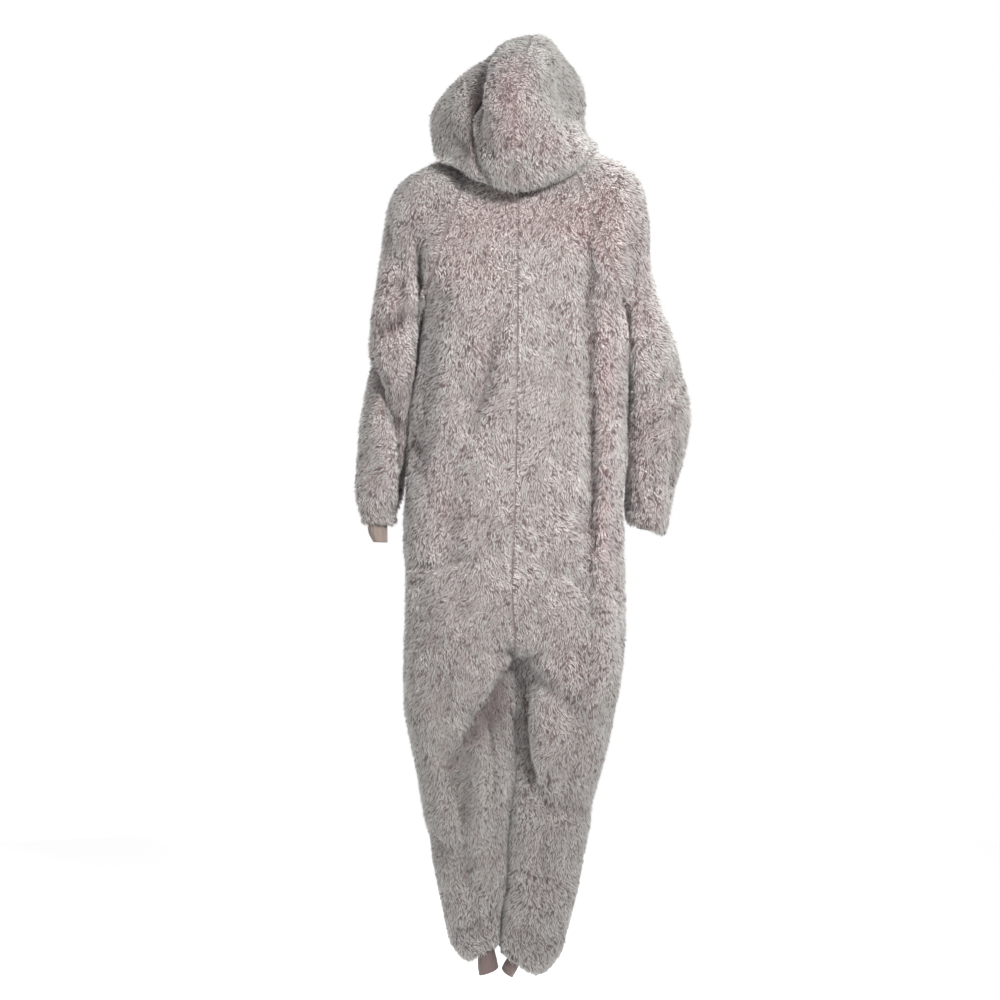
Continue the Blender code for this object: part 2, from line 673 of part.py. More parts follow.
def ring_mesh(inner, outer, width, middle):
    """A flat ring round a line along X, with its middle at the given Y and Z."""
    mesh = bmesh.new()
    corners = [(inner, -width / 2), (outer, -width / 2), (outer, width / 2), (inner, width / 2)]
    turns = [2 * math.pi * k / EYE_STEPS for k in range(EYE_STEPS)]
    rings = []
    for turn in turns:
        y, z = math.cos(turn), math.sin(turn)
        rings.append([mesh.verts.new((x, middle[0] + r * y, middle[1] + r * z)) for r, x in corners])
    for j, ring in enumerate(rings):
        following = rings[(j + 1) % EYE_STEPS]
        for a in range(len(corners)):
            b = (a + 1) % len(corners)
            mesh.faces.new((ring[a], following[a], following[b], ring[b]))
    return mesh


def make_pull(frame, material):
    """The pull tab, with its origin on the axis that it swings about."""
    bar = TAB_THICK / 2
    head, wide, low = TAB_HEAD_WIDTH / 2, TAB_WIDTH / 2, bar - TAB_LENGTH
    turns = [math.pi * k / TAB_END_STEPS for k in range(TAB_END_STEPS + 1)]
    round_end = [(-wide * math.cos(turn), low + wide - wide * math.sin(turn)) for turn in turns]
    outline = round_end + [(wide, low + TAB_LENGTH / 2), (head, -TAB_WINDOW[1]), (head, bar)]
    outline += [(-head, bar), (-head, -TAB_WINDOW[1]), (-wide, low + TAB_LENGTH / 2)]
    pull = add_object("zip_pull", prism(outline, -bar, bar), material)
    pivot = Vector((0, -SLIDER_SLOT / 2 - SLIDER_PLATE - PIVOT_OUT, PIVOT_UP))
    pull.matrix_world = frame @ Matrix.Translation(pivot)
    window = prism(box_outline(TAB_WINDOW[0], -bar - TAB_WINDOW[1], -bar), -TAB_THICK, TAB_THICK)
    add_boolean(pull, window, "DIFFERENCE", material)


def main():
    for old in list(bpy.data.objects):
        bpy.data.objects.remove(old)
    materials = {
        "plush": make_material("plush"),
        "jersey": make_material("jersey"),
        "tape": make_material("tape"),
        "metal": make_material("metal", roughness=0.35, metallic=1.0),
    }
    pieces = cloth_pieces()
    fold_cloth(pieces)
    make_cloth(pieces, materials)
    by_name = {piece["name"]: piece for piece in pieces}
    fronts = {side: by_name[f"front_{name}"] for side, name in SIDE_NAMES.items()}
    for side, front in fronts.items():
        make_tape(front, side, materials["tape"])
    frame = slider_frame(fronts)
    make_slider(frame, materials["metal"])
    make_pull(frame, materials["metal"])


main()
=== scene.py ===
"""The looks of the hooded plush onesie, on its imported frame. Metres, +Z up, the back towards +Y.

The outsides of the plush panels are joined into one smooth surface, so that creases run over the seams
as they do on the real garment. The surface is creased, parted into its panels again, and each panel is
closed with the knitted inside of its cloth. Its pile is a mesh of its own: fine cones that lean together
in locks and lie down the garment, parted along the seams, each dark at its root and frosted at its tip.
"""

import itertools
import math

import bmesh
import bpy
import numpy as np
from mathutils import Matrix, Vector, kdtree


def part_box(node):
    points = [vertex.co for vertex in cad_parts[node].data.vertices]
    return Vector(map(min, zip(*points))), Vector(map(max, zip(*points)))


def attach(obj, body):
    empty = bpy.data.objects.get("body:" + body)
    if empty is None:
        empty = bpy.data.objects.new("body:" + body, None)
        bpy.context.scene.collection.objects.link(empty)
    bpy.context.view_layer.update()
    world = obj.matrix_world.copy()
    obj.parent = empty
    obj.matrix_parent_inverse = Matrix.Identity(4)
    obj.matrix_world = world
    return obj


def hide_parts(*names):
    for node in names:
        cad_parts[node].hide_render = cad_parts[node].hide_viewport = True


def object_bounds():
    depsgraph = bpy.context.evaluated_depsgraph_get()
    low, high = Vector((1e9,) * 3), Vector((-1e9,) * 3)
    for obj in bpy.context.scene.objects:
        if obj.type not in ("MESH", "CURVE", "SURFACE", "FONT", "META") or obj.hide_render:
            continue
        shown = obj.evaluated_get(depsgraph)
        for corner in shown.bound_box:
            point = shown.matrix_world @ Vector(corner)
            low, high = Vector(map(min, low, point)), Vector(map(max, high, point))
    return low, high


# Cloth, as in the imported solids
PLUSH = 0.004
JERSEY = 0.0024
TAPE = 0.0012
SEAM_GAP = 0.0003
LENGTH_ERROR = 3e-6  # by which a packed edge may differ from its true length
SAME_POINT = 1e-5
SEAM_REACH = 0.001  # points of two panels nearer than this are sewn together
SURFACE_LEVELS = 2  # of subdivision
CAGE_ROUNDS = 4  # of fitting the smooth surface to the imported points
ZIP_HALF_OPENING = 0.009
ZIP_CLOSING = 0.048  # below the zip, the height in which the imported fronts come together
ZIP_PULL_REACH = 0.040
CLOSING_X = (0.0093, 0.0067)  # of their seam, from the zip's end down
RIM_FADE = (0.004, 0.045)  # creases fade out towards the zip, the hems and the hood's edge

# Pile: a dense body on the cloth, and on that cones which lean together in locks
PILE_BODY = 0.0060
FIBRE_AREA = 8.4e-6  # of cloth for each cone
FIBRES_A_LOCK = 3
FIBRE_LENGTH = (0.0068, 0.0106)
LENGTH_SHARES = (0.70, 1.08)  # of its lock's length, for each cone
FIBRE_WIDTH = (0.00080, 0.00125)  # half of it, at the root
FIBRE_SIDES = 3
ROOT_DEPTH = 0.0004
THIN_PATCHES = 0.20  # how much thinner or fuller patches of the pile are
LOCK_LEAN = (46, 68)  # degrees from upright
LOCK_GATHER = 0.26  # how far the tips of a lock draw together
LOCK_SPREAD = 0.17  # how far its cones' own ways differ
SEAM_PARTING = 0.0011  # no pile about this near a seam
PARTING_MIX = (0.6, 0.6, 0.7)  # of it: always, in waves, and by each root's own chance
SEAM_SHARES = (0.0, 0.25, 0.5, 0.75)  # of each edge on a seam, where the pile is parted
ARM_PARTING = 2.0  # times as much at the sleeves' seams
PARTING_REACH = 0.008  # pile this near one leans away from it
HEM_REACH = 0.020  # pile this near a hem hangs over it
ON_HEM = 0.001
SEAM_LEAN = 1.5  # how strongly a lock leans away from a seam, and over a hem:
HEM_LEAN = 1.6
SEAM_SHORTER = 0.18
HEM_LONGER = 0.45
PINK_UP = 7  # degrees by which the pinkest locks stand up, and those at a hem lie down:
HEM_DOWN = 8
OPEN_SHARE = 0.11  # of the locks show their dark roots, about, and more near seams; more in creases, as painted shade:
CREASE_SHADE_STROKES = 0.30
OPEN_NEAR_SEAM = 0.25
OPEN_IN_LOCK = 0.42  # of the fibres in such a lock are open, and of all fibres:
OPEN_ALONE = 0.05
OPEN_WIDER = 1.15
TONE_MIX = (0.50, 0.28, 0.22)  # of the tips' tone: always, by each lock's chance and by each fibre's
PINK_DARKER = 0.14
# painted shade: how much darker the pile is drawn at full depth in a crease or under a fold
CREASE_DARKER = 0.85
DRIFT = 0.25  # how far the pile drifts from straight down, in waves of this size:
DRIFT_SIZE = 0.12
SWIRL_SPREAD = 0.30

# Cuffs. The ribs are a wave round each of them.
CUFF_TUCK = {"wrist_cuff_right": 0.012}  # this one is drawn up into its sleeve
CUFF_LEVELS = 3
CUFF_RIBS = 28
RIB_DEPTH = 0.0004

# Zip
TAPE_LEVELS = 2
TAPE_TAIL = 0.014  # of the tapes goes behind the seam below the zip
TAPES_APART = 0.006  # points of the two tapes nearer than this are on their inner edges
TOOTH_PITCH = 0.0015
TOOTH_HALVES = (0.0023, 0.00062, 0.0012)  # across the zip, along it and outwards
TOOTH_SHIFT = 0.0014
TOOTH_INSET = 0.0003
STOP_INSET = 0.0004
CHAIN_RISE = 0.0004  # of the teeth's middles over the tapes' outsides
CHAIN_STEP = 0.004  # to each side, over which the chain's direction is taken
CHAIN_START = 0.002  # above the slider's lower end
BAR_POINTS = 12
BAR_FACES = 10

# Studio
AMBIENT = 0.27  # the surroundings' light, which show as white
FLOOR_RADIUS = 3.0
FLOOR_BELOW = 0.09  # the wearer's feet
FLOOR_GLOW = 0.71
CAMERA_LENS = 100
CAMERA_CLIP = 50
VIEW_WIDTH = 1.79  # of what the camera takes in at the garment's middle
VIEW_CENTRE = (0.0304, -0.562)

BACK, FRONT = 1, -1
SIDES = ("left", "right")
# The flat cut of each plush panel: its width, length and area
FLATS = {
    "back_left": (0.300, 1.420, 0.312),
    "back_right": (0.310, 1.440, 0.326),
    "front_left": (0.290, 1.400, 0.298),
    "front_right": (0.300, 1.420, 0.314),
    "sleeve_left": (0.420, 0.780, 0.214),
    "sleeve_right": (0.430, 0.790, 0.224),
    "hood_left": (0.330, 0.430, 0.113),
    "hood_right": (0.320, 0.430, 0.095),
}
PANELS = list(FLATS)


def table(columns, *rows):
    """A short table with named columns, as a list of dicts."""
    names = columns.split()
    return [dict(zip(names, row, strict=True)) for row in rows]


# What shows of each cuff, laid flat
CUFFS = table("at  round  left  right", ("wrist", 0.150, 0.043, 0.024), ("ankle", 0.157, 0.054, 0.036))
# Stops of the zip: how far each is along the chain, or back from its end if less than 0. half_x, half_z
# and half_y are its half sizes across the zip, along it and outwards.
STOPS = table(
    "along   shift_x  half_x  half_z  half_y",
    (0.0020, 0.0032, 0.0014, 0.0016, 0.0016),
    (0.0020, -0.0032, 0.0014, 0.0016, 0.0016),
    (-0.0025, 0.0, 0.0034, 0.0019, 0.0017),
)
LAMPS = table(
    "name  place  aim_z  size  power  spread",
    ("key", (-1.5, 3.3, 0.8), -0.40, 0.9, 12.0, 36),
    ("fill", (2.4, 2.8, 0.6), -0.44, 1.6, 8.0, 70),
    ("front_key", (1.5, -3.3, 0.8), -0.40, 0.9, 12.0, 36),
    ("front_fill", (-2.4, -2.8, 0.6), -0.44, 1.6, 8.0, 70),
    ("top", (0.0, 0.0, 2.8), -0.50, 1.2, 0.8, 140),
)

# Creases, each on a curve through three points as seen from the back or the front. depth draws the cloth
# in over width on both sides, less towards its ends. step lifts the cloth on the left side of the curve
# and sinks it on its right, as where one fold lies over the next.
CREASES = table(
    "face   x0      z0      x1      z1      x2      z2      width  depth   step",
    # hood
    (BACK, 0.040, 0.226, 0.053, 0.135, 0.062, 0.020, 0.013, 0.0150, -0.0110),
    (BACK, 0.078, 0.175, 0.088, 0.110, 0.086, 0.050, 0.030, 0.0120, 0.0000),
    (BACK, 0.066, 0.030, 0.050, 0.044, 0.036, 0.030, 0.009, 0.0075, 0.0020),
    (BACK, -0.084, 0.137, -0.100, 0.144, -0.126, 0.132, 0.007, 0.0090, 0.0020),
    (BACK, -0.060, 0.215, -0.085, 0.160, -0.080, 0.080, 0.026, 0.0075, 0.0015),
    (BACK, -0.020, 0.200, -0.030, 0.110, -0.060, 0.030, 0.030, -0.0060, 0.0000),
    (BACK, 0.022, 0.060, 0.012, 0.020, 0.004, -0.012, 0.006, 0.0045, 0.0000),
    (FRONT, 0.086, 0.190, 0.098, 0.120, 0.090, 0.040, 0.018, 0.0090, 0.0030),
    (FRONT, -0.096, 0.180, -0.104, 0.120, -0.094, 0.040, 0.018, 0.0090, -0.0030),
    (FRONT, 0.060, 0.020, 0.070, -0.004, 0.060, -0.028, 0.010, 0.0060, 0.0020),
    (FRONT, -0.066, 0.026, -0.072, 0.000, -0.060, -0.026, 0.010, 0.0060, -0.0020),
    # back
    (BACK, -0.132, -0.104, -0.141, -0.420, -0.134, -0.840, 0.016, 0.0150, -0.0050),
    (BACK, 0.179, -0.105, 0.176, -0.180, 0.172, -0.262, 0.010, 0.0158, 0.0036),
    (BACK, 0.028, -0.215, 0.048, -0.330, 0.082, -0.470, 0.022, 0.0100, 0.0036),
    (BACK, -0.062, -0.200, -0.084, -0.340, -0.070, -0.520, 0.026, 0.0090, -0.0036),
    (BACK, 0.104, -0.382, 0.070, -0.398, 0.030, -0.372, 0.009, 0.0080, 0.0027),
    (BACK, 0.196, -0.676, 0.150, -0.684, 0.108, -0.668, 0.008, 0.0080, 0.0027),
    (BACK, 0.130, -0.668, 0.090, -0.676, 0.050, -0.664, 0.007, 0.0067, 0.0022),
    (BACK, -0.060, -0.684, -0.096, -0.700, -0.130, -0.732, 0.010, 0.0100, -0.0027),
    (BACK, 0.110, -0.480, 0.120, -0.600, 0.104, -0.760, 0.024, 0.0090, 0.0027),
    (BACK, 0.150, -0.300, 0.158, -0.420, 0.150, -0.560, 0.020, 0.0080, -0.0027),
    (BACK, -0.020, -0.560, -0.044, -0.660, -0.034, -0.790, 0.022, 0.0090, 0.0027),
    (BACK, -0.172, -0.500, -0.170, -0.620, -0.160, -0.760, 0.016, 0.0090, 0.0036),
    # seat and legs from behind
    (BACK, 0.004, -0.842, 0.048, -0.892, 0.104, -0.966, 0.016, 0.0180, 0.0090),
    (BACK, -0.006, -0.842, -0.048, -0.880, -0.096, -0.930, 0.018, 0.0135, -0.0063),
    (BACK, 0.020, -0.860, 0.034, -0.990, 0.040, -1.140, 0.018, 0.0135, 0.0054),
    (BACK, -0.024, -0.880, -0.030, -0.980, -0.020, -1.080, 0.014, 0.0158, -0.0072),
    (BACK, 0.142, -0.840, 0.130, -0.980, 0.104, -1.110, 0.022, 0.0112, 0.0036),
    (BACK, -0.120, -0.830, -0.110, -0.960, -0.080, -1.090, 0.024, 0.0100, -0.0036),
    (BACK, 0.080, -1.020, 0.092, -1.140, 0.078, -1.270, 0.018, 0.0100, -0.0036),
    (BACK, -0.060, -1.100, -0.044, -1.200, -0.050, -1.310, 0.018, 0.0100, 0.0036),
    (BACK, 0.050, -1.290, 0.078, -1.316, 0.108, -1.318, 0.012, 0.0090, 0.0036),
    (BACK, -0.006, -1.330, -0.034, -1.344, -0.066, -1.338, 0.012, 0.0090, 0.0036),
    # sleeves from behind
    (BACK, 0.238, -0.366, 0.224, -0.394, 0.208, -0.428, 0.010, 0.0300, 0.0000),
    (BACK, 0.208, -0.238, 0.234, -0.254, 0.264, -0.288, 0.006, 0.0150, 0.0000),
    (BACK, 0.266, -0.276, 0.234, -0.352, 0.198, -0.432, 0.014, 0.0225, 0.0108),
    (BACK, 0.250, -0.346, 0.222, -0.388, 0.206, -0.450, 0.014, 0.0203, -0.0072),
    (BACK, 0.226, -0.418, 0.224, -0.490, 0.226, -0.560, 0.012, 0.0135, 0.0036),
    (BACK, 0.232, -0.100, 0.212, -0.180, 0.206, -0.260, 0.016, 0.0100, 0.0036),
    (BACK, 0.264, -0.460, 0.256, -0.520, 0.258, -0.590, 0.012, 0.0080, 0.0027),
    (BACK, -0.222, -0.120, -0.232, -0.230, -0.226, -0.330, 0.018, 0.0124, -0.0045),
    (BACK, -0.300, -0.318, -0.262, -0.366, -0.214, -0.392, 0.014, 0.0135, -0.0054),
    (BACK, -0.296, -0.430, -0.258, -0.416, -0.212, -0.440, 0.012, 0.0112, 0.0036),
    (BACK, -0.278, -0.470, -0.282, -0.550, -0.276, -0.622, 0.010, 0.0158, -0.0054),
    (BACK, -0.194, -0.572, -0.210, -0.578, -0.224, -0.570, 0.007, 0.0090, 0.0018),
    (BACK, -0.236, -0.460, -0.240, -0.530, -0.232, -0.600, 0.014, 0.0100, 0.0036),
    (BACK, -0.132, -0.078, -0.152, -0.072, -0.174, -0.062, 0.007, 0.0090, 0.0018),
    # front
    (FRONT, 0.030, -0.120, 0.060, -0.240, 0.052, -0.380, 0.020, 0.0112, 0.0036),
    (FRONT, -0.034, -0.130, -0.066, -0.260, -0.060, -0.420, 0.020, 0.0112, -0.0036),
    (FRONT, 0.176, -0.110, 0.160, -0.220, 0.128, -0.330, 0.016, 0.0135, 0.0054),
    (FRONT, -0.190, -0.110, -0.170, -0.230, -0.134, -0.340, 0.016, 0.0135, -0.0054),
    (FRONT, 0.120, -0.400, 0.136, -0.520, 0.124, -0.680, 0.020, 0.0124, -0.0036),
    (FRONT, -0.118, -0.420, -0.140, -0.560, -0.126, -0.740, 0.020, 0.0124, 0.0036),
    (FRONT, 0.020, -0.440, 0.046, -0.480, 0.104, -0.500, 0.012, 0.0080, 0.0027),
    (FRONT, -0.024, -0.560, -0.056, -0.590, -0.102, -0.600, 0.011, 0.0080, -0.0027),
    (FRONT, 0.022, -0.640, 0.050, -0.690, 0.100, -0.700, 0.012, 0.0090, 0.0027),
    (FRONT, 0.006, -0.820, 0.050, -0.880, 0.110, -0.950, 0.016, 0.0168, 0.0072),
    (FRONT, -0.008, -0.820, -0.056, -0.870, -0.110, -0.920, 0.016, 0.0158, -0.0072),
    (FRONT, 0.026, -0.880, 0.044, -1.010, 0.052, -1.150, 0.018, 0.0124, 0.0036),
    (FRONT, -0.026, -0.900, -0.044, -1.030, -0.040, -1.170, 0.018, 0.0124, -0.0036),
    (FRONT, 0.130, -0.980, 0.106, -1.090, 0.100, -1.220, 0.018, 0.0100, -0.0036),
    (FRONT, -0.112, -0.960, -0.090, -1.080, -0.070, -1.210, 0.018, 0.0100, 0.0036),
    (FRONT, 0.050, -1.296, 0.080, -1.318, 0.112, -1.314, 0.012, 0.0090, 0.0036),
    (FRONT, -0.010, -1.322, -0.036, -1.344, -0.070, -1.330, 0.012, 0.0090, 0.0036),
    (FRONT, 0.262, -0.300, 0.236, -0.360, 0.200, -0.410, 0.014, 0.0180, 0.0072),
    (FRONT, 0.266, -0.380, 0.240, -0.420, 0.212, -0.470, 0.012, 0.0135, -0.0054),
    (FRONT, 0.236, -0.120, 0.220, -0.200, 0.214, -0.280, 0.016, 0.0100, 0.0036),
    (FRONT, -0.292, -0.320, -0.256, -0.366, -0.212, -0.400, 0.014, 0.0180, -0.0072),
    (FRONT, -0.296, -0.420, -0.252, -0.430, -0.212, -0.470, 0.012, 0.0135, 0.0054),
    (FRONT, -0.234, -0.120, -0.222, -0.200, -0.220, -0.290, 0.016, 0.0100, -0.0036),
)
# Folds, where the cloth on one side of a curve lies over the other. step is how far the low side sinks
# next to the curve: the wearer's left side if it is negative, and the right side if it is positive. Both
# sides come back to the surface over the reach, and the change at the curve takes the width.
FOLDS = table(
    "face   x0      z0      x1      z1      x2      z2      width  reach  step",
    # hood
    (BACK, 0.038, 0.224, 0.056, 0.172, 0.046, 0.128, 0.006, 0.042, -0.0181),
    (BACK, 0.047, 0.146, 0.071, 0.086, 0.058, 0.022, 0.006, 0.050, -0.0230),
    (BACK, 0.118, 0.084, 0.094, 0.046, 0.060, 0.024, 0.008, 0.022, -0.0073),
    (BACK, -0.076, 0.141, -0.102, 0.152, -0.122, 0.134, 0.006, 0.018, 0.0073),
    (BACK, 0.028, 0.002, -0.004, -0.010, -0.036, -0.004, 0.006, 0.016, 0.0048),
    # back
    (BACK, -0.133, -0.100, -0.143, -0.420, -0.132, -0.860, 0.011, 0.036, -0.0145),
    (BACK, 0.028, -0.240, 0.044, -0.350, 0.074, -0.460, 0.014, 0.050, -0.0120),
    (BACK, -0.203, -0.052, -0.212, -0.120, -0.213, -0.205, 0.006, 0.018, -0.0070),
    (BACK, 0.182, -0.110, 0.178, -0.170, 0.174, -0.230, 0.006, 0.020, 0.0090),
    # left sleeve
    (BACK, 0.194, -0.226, 0.222, -0.238, 0.254, -0.266, 0.007, 0.022, 0.0360),
    (BACK, 0.266, -0.266, 0.228, -0.352, 0.184, -0.440, 0.007, 0.040, -0.0540),
    (BACK, 0.236, -0.290, 0.222, -0.330, 0.206, -0.366, 0.006, 0.014, 0.0110),
    (BACK, 0.238, -0.378, 0.224, -0.470, 0.226, -0.590, 0.009, 0.036, 0.0400),
    # right sleeve
    (BACK, -0.276, -0.240, -0.284, -0.330, -0.270, -0.430, 0.010, 0.030, 0.0090),
    (BACK, -0.300, -0.385, -0.262, -0.402, -0.216, -0.396, 0.008, 0.030, -0.0100),
    # seat and legs
    (BACK, 0.002, -0.846, 0.052, -0.902, 0.128, -1.026, 0.010, 0.060, 0.0300),
    (BACK, 0.002, -0.846, -0.026, -0.952, -0.046, -1.066, 0.008, 0.050, -0.0300),
    (BACK, 0.168, -1.122, 0.132, -1.156, 0.096, -1.178, 0.008, 0.036, -0.0140),
    (BACK, -0.036, -1.104, -0.080, -1.124, -0.124, -1.122, 0.008, 0.034, 0.0120),
    (BACK, 0.130, -1.040, 0.112, -1.090, 0.108, -1.150, 0.010, 0.030, 0.0100),
    # front
    (FRONT, 0.150, -0.130, 0.128, -0.230, 0.070, -0.330, 0.010, 0.050, -0.0140),
    (FRONT, -0.160, -0.130, -0.140, -0.250, -0.080, -0.360, 0.010, 0.050, 0.0140),
    (FRONT, 0.264, -0.290, 0.240, -0.342, 0.204, -0.398, 0.006, 0.036, -0.0220),
    (FRONT, -0.296, -0.330, -0.262, -0.372, -0.214, -0.404, 0.006, 0.036, 0.0220),
    (FRONT, 0.012, -0.800, 0.056, -0.870, 0.120, -0.980, 0.010, 0.055, 0.0220),
    (FRONT, -0.014, -0.800, -0.056, -0.880, -0.104, -0.990, 0.010, 0.055, -0.0220),
    (FRONT, 0.092, 0.196, 0.104, 0.120, 0.092, 0.040, 0.008, 0.040, -0.0140),
    (FRONT, -0.100, 0.186, -0.108, 0.120, -0.098, 0.044, 0.008, 0.040, 0.0140),
)
FOLD_RISE = 0.28  # of the step, by which the high side stands up
FOLD_OVER = 0.34  # of the step, by which the high side lies over the low one
SHADE_FULL_DEPTH = 0.026  # a crease as deep as this gets the full painted shade
SHADE_NARROW = 0.45  # of a crease's width, in which the painted shade shows
SHADE_REACH = 0.90  # of a fold's reach, in which the painted shade shows likewise
LOW_EDGE = (-0.003, 0.001)  # where the painted shade on a fold's low side begins, across the curve
LEG_FILL = 0.0065  # by which the insides of the legs press towards each other
LEGS_BELOW = (0.815, 0.860)
LEGS_APART_X = 0.014
LEG_FILL_REACH = 0.035
CREASE_SAMPLES = 24
ROUND_SIDE = 0.12  # how far creases run round the sleeves' outer sides, as a share of the normal
SLEEVE_SIDE = (0.235, 0.265)  # where those begin

# Soft unevenness everywhere: the size of its waves and their height
LUMPS = table(
    "size   height",
    (0.110, 0.0070),
    (0.048, 0.0045),
    (0.024, 0.0018),
)
LUMP_STRETCH = (1, 1, 0.7)  # the waves are longer down the garment

# Swirls of the pile, and the waves of its colour between grey-green and pink
SWIRLS = table("size  turn", (0.050, 0.75), (0.016, 0.60))
BLUSH_WAVES = table("size  blush", (0.085, 0.30), (0.034, 0.22))
LEG_GREY_AND_SHADE = 0.40  # how far the legs are greyer and darker, partly as painted shade, between these depths below the origin:
LEG_GREY_AND_SHADE_FROM = (0.55, 1.05)

# Where the pile is pinker, or greener and greyer, than elsewhere: ovals as seen from one face.
# blush runs from -1, grey-green, to 1, pink.
BLUSHES = table(
    "face   x       z       half_x  half_z  blush",
    (BACK, 0.010, 0.110, 0.038, 0.100, 1.00),
    (BACK, -0.058, 0.062, 0.034, 0.034, 0.90),
    (BACK, -0.072, 0.160, 0.045, 0.080, -1.30),
    (BACK, 0.010, 0.250, 0.070, 0.030, -1.40),
    (BACK, 0.118, 0.110, 0.050, 0.100, -1.00),
    (BACK, 0.060, 0.004, 0.120, 0.030, -1.10),
    (BACK, -0.110, 0.020, 0.040, 0.050, -0.90),
    (BACK, 0.020, -0.066, 0.130, 0.045, 0.90),
    (BACK, -0.130, -0.050, 0.060, 0.070, 0.85),
    (BACK, 0.060, -0.160, 0.070, 0.050, 0.30),
    (BACK, 0.180, -0.060, 0.060, 0.090, -0.20),
    (BACK, 0.215, -0.230, 0.030, 0.110, 0.45),
    (BACK, -0.154, -0.420, 0.020, 0.330, 0.90),
    (BACK, -0.205, -0.200, 0.040, 0.120, 0.70),
    (BACK, -0.215, -0.470, 0.030, 0.130, 0.55),
    (BACK, -0.290, -0.350, 0.030, 0.120, -0.60),
    (BACK, 0.265, -0.400, 0.030, 0.120, -0.35),
    (BACK, 0.070, -0.290, 0.030, 0.060, 0.55),
    (BACK, -0.050, -0.330, 0.060, 0.130, -0.45),
    (BACK, 0.110, -0.330, 0.040, 0.100, -0.40),
    (BACK, 0.000, -0.480, 0.030, 0.120, 0.30),
    (BACK, -0.090, -0.640, 0.060, 0.060, 0.30),
    (BACK, 0.120, -0.560, 0.050, 0.070, 0.25),
    (BACK, -0.100, -0.860, 0.060, 0.060, 0.35),
    (BACK, -0.060, -1.140, 0.060, 0.120, 0.40),
    (BACK, 0.110, -1.000, 0.080, 0.160, -0.35),
    (BACK, 0.060, -1.250, 0.060, 0.100, -0.30),
    (FRONT, 0.080, -0.240, 0.060, 0.120, 0.50),
    (FRONT, -0.120, -0.400, 0.040, 0.240, 0.60),
    (FRONT, 0.100, -0.560, 0.070, 0.110, -0.45),
    (FRONT, -0.060, -0.160, 0.060, 0.080, -0.40),
    (FRONT, 0.120, -0.940, 0.050, 0.160, 0.35),
    (FRONT, -0.090, -1.100, 0.060, 0.160, -0.35),
    (FRONT, 0.250, -0.300, 0.040, 0.140, 0.40),
    (FRONT, -0.250, -0.420, 0.050, 0.120, 0.40),
    (FRONT, 0.110, 0.120, 0.040, 0.100, 0.45),
    (FRONT, -0.110, 0.100, 0.040, 0.100, -0.30),
)


# ---------------------------------------------------------------- measures and noise


def unit(vectors):
    return vectors / np.maximum(np.linalg.norm(vectors, axis=-1, keepdims=True), 1e-12)


def soft_step(values, low, high):
    """0 below low, 1 above high, and a smooth rise between them."""
    t = np.clip((values - low) / (high - low), 0, 1)
    return t * t * (3 - 2 * t)


def noise(points, size, seed):
    """Smooth noise from -1 to 1 at each point, whose waves are about that size."""
    cells = 64
    values = np.random.default_rng(seed).uniform(-1, 1, (cells, cells, cells))
    places = points / size
    corner = np.floor(places).astype(int)
    share = places - corner
    share = share * share * (3 - 2 * share)
    total = np.zeros(len(points))
    for far in itertools.product((0, 1), repeat=3):
        at = (corner + far) % cells
        weight = np.where(far, share, 1 - share).prod(axis=1)
        total += values[at[:, 0], at[:, 1], at[:, 2]] * weight
    return total


def curve_points(crease):
    """Points along a crease's curve, in X and Z, and the share of the way at each."""
    start = np.array((crease["x0"], crease["z0"]))
    middle = np.array((crease["x1"], crease["z1"]))
    end = np.array((crease["x2"], crease["z2"]))
    handle = 2 * middle - (start + end) / 2
    t = np.linspace(0, 1, CREASE_SAMPLES)[:, None]
    return (1 - t) ** 2 * start + 2 * t * (1 - t) * handle + t * t * end, t[:, 0]


def near_curve(crease, points, normals, reach):
    """The points near a crease's curve on its face: which they are, how far each is from the curve (less
    than zero on the wearer's right of one that runs down), how strong the crease is there and the way
    across it, towards its left side."""
    line, share = curve_points(crease)
    seen = points[:, [0, 2]]
    near = ((seen > line.min(0) - reach) & (seen < line.max(0) + reach)).all(axis=1)
    towards = normals[:, 1] * crease["face"] + ROUND_SIDE * soft_step(np.abs(points[:, 0]), *SLEEVE_SIDE)
    near &= towards > 0
    near = np.flatnonzero(near)
    away = seen[near, None] - line[None]
    distance = np.linalg.norm(away, axis=2)
    nearest = distance.argmin(axis=1)
    rows = np.arange(len(nearest))
    along = unit(np.gradient(line, axis=0))[nearest]
    offset = away[rows, nearest]
    side = np.sign(along[:, 0] * offset[:, 1] - along[:, 1] * offset[:, 0])
    ends = np.sin(math.pi * np.clip(0.04 + 0.92 * share[nearest], 0, 1)) ** 0.6
    facing = soft_step(towards[near], 0.0, 0.45)
    across_curve = np.stack((-along[:, 1], np.zeros(len(near)), along[:, 0]), axis=1)
    return near, side * distance[rows, nearest], ends * facing, across_curve


def crease_lift(crease, points, normals):
    """How far one crease lifts each point along its normal."""
    lift = np.zeros(len(points))
    near, away, strength, _ = near_curve(crease, points, normals, 3 * crease["width"])
    spread = away / crease["width"]
    trough = -crease["depth"] * np.exp(-(spread**2))
    over = crease["step"] * spread * np.exp(0.5 - 0.5 * spread**2)
    lift[near] = (trough + over) * strength
    return lift


def fold_shift(fold, points, normals):
    """How far one fold moves each point: along its normal, and on the high side over the low one."""
    shift = np.zeros_like(points)
    near, away, strength, across_curve = near_curve(fold, points, normals, 2.5 * fold["reach"])
    high = away * np.sign(fold["step"])
    side = np.tanh(high / fold["width"])
    height = np.where(side > 0, FOLD_RISE * side, side) * np.exp(-((away / fold["reach"]) ** 2))
    over = soft_step(high, -fold["width"], fold["width"])
    over *= np.exp(-((high / (0.6 * fold["reach"])) ** 2))
    shift[near] = normals[near] * (abs(fold["step"]) * strength * height)[:, None]
    shift[near] -= across_curve * (FOLD_OVER * fold["step"] * strength * over)[:, None]
    return shift


